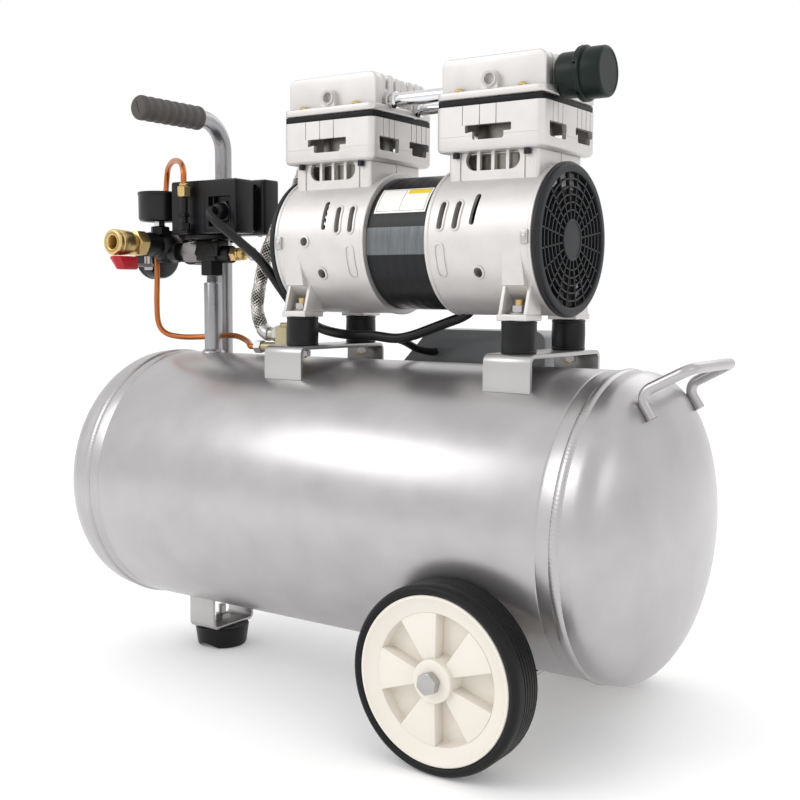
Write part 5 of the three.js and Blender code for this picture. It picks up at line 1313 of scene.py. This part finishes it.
sleeve = spun("y", (hub.x, 0, coupler_z), [
    (sleeve_start, sleeve_inner), (sleeve_start, 11.4), (sleeve_start + 0.5, 12.5),
    (sleeve_start + 1.6, 13.2),
    (sleeve_start + 3.4, sleeve_radius), (sleeve_start + 4.4, 12.9), (sleeve_start + 4.8, 12.0),
    (sleeve_start + 6.0, 11.9),
    (sleeve_start + 6.5, 12.7), (sleeve_start + 7.3, 13.1), (sleeve_start + 13, 13.0),
    (sleeve_start + 21, 12.3),
    (sleeve_start + 22.6, 11.8), (sleeve_start + 23.4, 10.8), (sleeve_start + 23.4, sleeve_inner)], 96)
make_piece("coupler_slide", sleeve, turned_brass, "coupler_sleeve", "brass", "coupler_sleeve")

# ------------------------------------------------------------------ ball valve lever
# A flat steel lever on the ball valve's stem, under the coupler. Its end is dipped in red vinyl: thick, rounded
# and slightly glossy.
low, high = span("ball_valve_lever")
red_vinyl = grain(new_finish("dipped_red_vinyl", "#AE1A26", 0.0, 0.32, Specular_IOR_Level=0.4), 1.6, 0.03,
                  "#A51723",
                  "#B8212D", 0.26, 0.4)
lever_pivot = Vector((tank_x - 262.0, -40.0, 0))
bar_low, bar_high = tank_z + 219.0, tank_z + 222.0
bar = slab(bent([(lever_pivot.x - 4, -36), (lever_pivot.x - 4, low.y + 17), (lever_pivot.x + 4, low.y + 17),
                 (lever_pivot.x + 4, -36)], 2.0, 4), "z", bar_low, bar_high)
make_piece("lever_bar", together(bar, drum("z", (lever_pivot.x, lever_pivot.y, 0), bar_low, high.z, 4.0, 0.4),
                                 hexagon("z", (lever_pivot.x, lever_pivot.y, 0), bar_low - 3.2, bar_low, 7.5,
                                         0.5)),
           bright_zinc, "ball_valve_lever", "steel", "ball_valve_lever")
grip_from, grip_to, grip_wide, grip_deep = -58.0, low.y + 6, 14.0, 13.6
grip_top = coupler_z - sleeve_radius - 0.6
skin = slab([(lever_pivot.x - 5.4, grip_from), (lever_pivot.x - grip_wide / 2, grip_from - 16),
             (lever_pivot.x - grip_wide / 2, grip_to + 5), (lever_pivot.x - grip_wide / 2 + 5, grip_to),
             (lever_pivot.x + grip_wide / 2 - 5, grip_to), (lever_pivot.x + grip_wide / 2, grip_to + 5),
             (lever_pivot.x + grip_wide / 2, grip_from - 16), (lever_pivot.x + 5.4, grip_from)], "z",
            grip_top - grip_deep, grip_top)
grip_slant = 7.0
for vertex in skin.verts:
    if vertex.co.y < grip_to + 6 and vertex.co.z < bar_low:
        vertex.co.y += grip_slant
make_piece("lever_grip", rounded(skin, 2.6, 5, 50), red_vinyl, "ball_valve_lever", "red_vinyl")

# ------------------------------------------------------------------ safety valve
# A small turned brass relief valve on the manifold's right arm, with a knurled barrel and a steel pull ring.
low, high = span("safety_valve")
valve_z = tank_z + 232.0
barrel_shape = spun("x", (low.x, 0, valve_z), [
    (7.4, 0), (7.4, 5.4), (8.4, 6.2), (10.2, 6.2), (10.6, 5.4), (11.4, 5.4), (12, 6.2), (16.4, 6.2),
    (17.6, 5.0),
    (18, 3.8), (18, 0)], 48)
grips = [drum("x", (0, y, z), low.x + 11.8, low.x + 17, 0.4, 0, 6) for y, z in ring_of(28, 6.2, (0, valve_z))]
make_piece("safety_valve_body", together(hexagon("x", (low.x, 0, valve_z), 0, 8, 13, 0.8, 0),
                                         carve(barrel_shape, together(*grips))), turned_brass, "machine",
                                         "brass",
           "safety_valve")
low, high = span("safety_valve_ring")
ring_radius, ring_wire = 6.0, 0.9
ring = spun("y", (high.x - ring_radius - ring_wire, 0, valve_z), [
    (ring_wire * math.sin(a), ring_radius + ring_wire * math.cos(a))
    for a in (math.radians(30 * i) for i in range(12))], 48)
pin = drum("x", (0, 0, valve_z), low.x, high.x - 2 * ring_radius + 0.4, 1.5, 0.3, 24)
make_piece("safety_pull_ring", together(ring, pin), bright_zinc, "safety_valve_ring", "steel",
           "safety_valve_ring")

# ------------------------------------------------------------------ check valve
# A brass check valve screwed into the receiver, where the delivery hose and the copper unloader tube both end.
# Its plating has dulled to a pale straw colour. Zinc-plated union nuts hold the two lines.
dull_brass = grain(new_finish("dull_plated_brass", "#ADA284", 1.0, 0.38), 0.5, 0.01, "#9A8F72", "#BDB393",
                   0.32, 0.46)
low, high = span("check_valve")
check_x, hose_z, unloader_z, unloader_y = tank_x - 105.0, tank_z + 151.0, tank_z + 138.0, -5.0
make_piece("check_valve_body", together(
    hexagon("z", (check_x, 0, 0), low.z, high.z - 4, 25, 1.6, 0),
    drum("z", (check_x, 0, 0), high.z - 5, high.z, 9, 1),
    drum("x", (0, 0, hose_z), check_x - 18.4, check_x, 7.4, 0.6),
    drum("x", (0, unloader_y, unloader_z), low.x + 6, check_x, 5.0, 0.4)), dull_brass, "machine", "brass",
    "check_valve")
make_piece("union_nuts", together(
    hexagon("x", (low.x, unloader_y, unloader_z), 0, 9, 12, 0.8, 8),
    hexagon("x", (check_x - 16, 0, hose_z), 0, 7, 16, 0.8, 20)), bright_zinc, "machine", "steel")

# It is drawn copper, warm and satin, a little browned where it was bent by hand.


def flowing(points, steps=6):
    """A smooth line through listed points, given from the receiver's middle."""
    points = [Vector(point) + Vector((tank_x, 0, tank_z)) for point in points]
    ends = [2 * points[0] - points[1]] + points + [2 * points[-1] - points[-2]]
    line = []
    for p, q, r, s in zip(ends, ends[1:], ends[2:], ends[3:]):
        for i in range(steps):
            t = i / steps
            line.append(0.5 * ((2 * q) + (r - p) * t + (2 * p - 5 * q + 4 * r - s) * t ** 2 +
                               (3 * q - p - 3 * r + s) * t ** 3))
    return line + [points[-1]]


drawn_copper = grain(new_finish("drawn_copper", "#B9703F", 1.0, 0.32), 1.5, 0.012, "#A3592F", "#C98352", 0.26,
                     0.42)
nut_x, nut_y = tank_x - 212.0, -37.5
copper_route = [
    (-212, -37.5, 299), (-212, -37.5, 306), (-212.5, -37, 314), (-218, -33, 321), (-231, -24, 327),
    (-250, -12, 330.5),
    (-268, 0, 330), (-281, 8, 325), (-286, 11, 315), (-287, 10, 300), (-287, 4, 272), (-287.5, -4, 242),
    (-286, -5, 211), (-287, -5, 180), (-285, -5, 160), (-276, -4, 149), (-260, 2, 145), (-238, 10, 145),
    (-212, 15.5, 147), (-188, 14, 147), (-166, 6, 142.5), (-153, -4, 138.3), (-149, -5, 138),
    (-143.8, -5, 138)]
make_piece("unloader_copper", rod(flowing(copper_route), 3.0, 5), drawn_copper, "machine", "copper",
           "unloader_tube")
make_piece("unloader_fitting", together(
    hexagon("z", (nut_x, nut_y, 0), tank_z + 289, tank_z + 300, 12, 1.0, 20),
    drum("z", (nut_x, nut_y, 0), tank_z + 300, tank_z + 303, 4.4, 0.8)), turned_brass, "machine", "brass")
make_piece("unloader_valve", together(
    drum("z", (nut_x, nut_y, 0), tank_z + 262, tank_z + 289.6, 3.9, 0.3),
    hexagon("z", (nut_x, nut_y, 0), tank_z + 256, tank_z + 263, 11, 0.8, 0),
    hexagon("z", (nut_x, nut_y, 0), tank_z + 269, tank_z + 273, 10, 0.6, 20),
    box_between((nut_x - 6, nut_y - 2, tank_z + 252), (nut_x + 6, front + 1, tank_z + 257), 1.0)),
    black_casting, "machine", "black_plastic")

# Each strand stands for a flat bundle of wires, wider than real so it shows.
stainless_wire = grain(new_finish("stainless_wire_braid", "#C9C6C1", 1.0, 0.36), 0.12, 0.01, "#B9B5AF",
                       "#D8D5D0",
                       0.34, 0.48)
hose_route = [
    (-84.55, 10, 370.5), (-88, 10, 354), (-91, 10, 322), (-103, 8, 290), (-120, 4, 262), (-132, 0, 236),
    (-140, 0, 211), (-146, 0, 188), (-146, 0, 172), (-141, 0, 159), (-134, 0, 152), (-129, 0, 151),
    (-123.8, 0, 151)]
hose_radius, strand_count, strand_turn_mm, strand_wide, strand_thick = 6.1, 10, 34.0, 0.95, 0.42
hose_line = flowing(hose_route, 12)


def braid(line, radius):
    """Wire strands wound both ways round a line, each passing over one crossing and under the next."""
    curve = bpy.data.curves.new("strands", "CURVE")
    curve.dimensions = "3D"
    curve.bevel_mode = "OBJECT"
    section = bpy.data.curves.new("section", "CURVE")
    oval = section.splines.new("POLY")
    oval.points.add(5)
    for point, (a, b) in zip(oval.points, ring_of(6, 1.0)):
        point.co = (a * strand_wide, b * strand_thick, 0, 1)
    oval.use_cyclic_u = True
    section_holder = bpy.data.objects.new("section", section)
    curve.bevel_object = section_holder
    side_way = Vector((0, 1, 0))
    frames, travelled = [], 0.0
    for here, there in zip(line, line[1:]):
        along = (there - here).normalized()
        side_way = (side_way - along * side_way.dot(along)).normalized()
        frames.append((here, side_way.copy(), along.cross(side_way), along, travelled))
        travelled += (there - here).length
    for way in (-1, 1):
        for k in range(strand_count):
            spline = curve.splines.new("POLY")
            spline.points.add(len(frames) - 1)
            for point, (here, a, b, along, gone) in zip(spline.points, frames):
                angle = 2 * math.pi * (way * gone / strand_turn_mm + k / strand_count)
                weave = math.cos(2 * math.pi * strand_count * gone / strand_turn_mm + math.pi * k)
                reach = radius + 0.28 * way * weave
                place = here + reach * (a * math.cos(angle) + b * math.sin(angle))
                point.co = (*place, 1)
    holder = bpy.data.objects.new("strands", curve)
    bpy.context.scene.collection.objects.link(holder)
    mesh = bpy.data.meshes.new_from_object(holder.evaluated_get(bpy.context.evaluated_depsgraph_get()))
    shape = bmesh.new()
    shape.from_mesh(mesh)
    for thing in (holder, section_holder):
        bpy.data.objects.remove(thing)
    for data in (curve, section):
        bpy.data.curves.remove(data)
    bpy.data.meshes.remove(mesh)
    return shape


make_piece("hose_core", rod(hose_line[:-1], hose_radius - 0.45, 5), gasket_rubber, "machine", "zinc",
           "braided_hose")
make_piece("hose_braid", braid(hose_line[14:-12], hose_radius - 0.05), stainless_wire, "machine", "zinc")
head_fitting = Vector((tank_x - 84.55, 10, tank_z + 370.5))
make_piece("hose_ferrules", together(
    drum("x", (0, head_fitting.y, head_fitting.z), head_fitting.x - 6, head_fitting.x + 15.4, 8.0, 1.2),
    drum("z", (head_fitting.x - 0.6, head_fitting.y, 0), head_fitting.z - 20, head_fitting.z, 7.6, 1.0),
    rod(hose_line[-34:-13], 7.4, 5),
    drum("x", (0, 0, hose_z), tank_x - 134, tank_x - 123.4, 6.0, 0.6)), bright_zinc, "machine", "zinc")

# ------------------------------------------------------------------ motor cable
# Black PVC-sheathed cable from the switch's gland down behind the front mounts to the motor, with a lead to the
# capacitor box. The sheath is smooth and slightly glossy.
cable_sheath = grain(new_finish("extruded_pvc_sheath", "#0D0D0F", 0.0, 0.36, Specular_IOR_Level=0.28), 2.0,
                     0.03,
                     "#0A0A0C", "#121214", 0.3, 0.44)
cable_route = [
    (-170, -37.3, 274), (-170, -41.3, 274), (-166, -47, 269), (-156, -47, 261), (-134, -41, 243),
    (-109, -35, 222),
    (-93, -22, 193), (-85, -6, 171), (-70, 2, 159.5), (-45, -6, 155), (-20, -10, 153), (5, -10, 153),
    (32, -10, 151),
    (50, -9, 154), (70, -6, 161), (88, -4, 167.5)]
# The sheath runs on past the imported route, into the underside of the right-hand case.
cable_tail = [(97, -3.4, 170.6), (105, -3, 174.5), (110, -3, 179)]
lead_route = [(32, -10, 151), (31, 8, 147), (30, 30, 140), (30, 54, 136), (30, 61.7, 136)]
make_piece("motor_cable_sheath", together(rod(flowing(cable_route + cable_tail), 4.6, 6),
                                          rod(flowing(lead_route), 3.6, 6)),
           cable_sheath, "machine", "cable_sheath", "motor_cable")

# ------------------------------------------------------------------ capacitor box
# A folded steel cover over the run capacitors, behind the pump, stove-enamelled mid grey with a smooth satin
# skin. Four screws hold its lid.
grey_enamel = grain(new_finish("grey_stove_enamel", "#77797B", 0.0, 0.36, Coat_Weight=0.2), 0.9, 0.02,
                    "#707274",
                    "#7E8082", 0.32, 0.44)
low, high = span("capacitor_box")
box_left_top = tank_x + 23
box_outline = bent([(low.x, low.z), (low.x, tank_z + 118), (box_left_top, high.z), (high.x, high.z),
                    (high.x, low.z)], 10.0, 6)
shell = slab(box_outline, "y", low.y, high.y)
shell = carve(shell, drum("x", tank_centre, -seam, seam, tank_radius + 0.2, steps=160))
shell = rounded(shell, 2.2, 4, 50)
make_piece("capacitor_cover", shell, grey_enamel, "machine", "grey_paint", "capacitor_box")
lid_screws = [spun("y", (x, high.y, z), [(-0.6, 0), (-0.6, 3.4), (-0.2, 3.4), (-0.05, 2.2), (-0.05, 0)], 24)
              for x in (box_left_top + 8, high.x - 10) for z in (high.z - 9,)]
make_piece("capacitor_screws", together(*lid_screws), bright_zinc, "machine", "steel")

# ------------------------------------------------------------------ crankshaft and pistons
# Ground steel working parts inside the crankcases, seen only through the slots and grilles.
ground_steel = grain(new_finish("ground_steel", "#8C8A87", 1.0, 0.32), 1.0, 0.01, "#7C7A77", "#9C9A97", 0.26,
                     0.4,
                     stretch=(0.15, 1, 1))
for node in ("crankshaft", "left_piston", "right_piston"):
    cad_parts[node].data.materials.clear()
    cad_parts[node].data.materials.append(ground_steel)
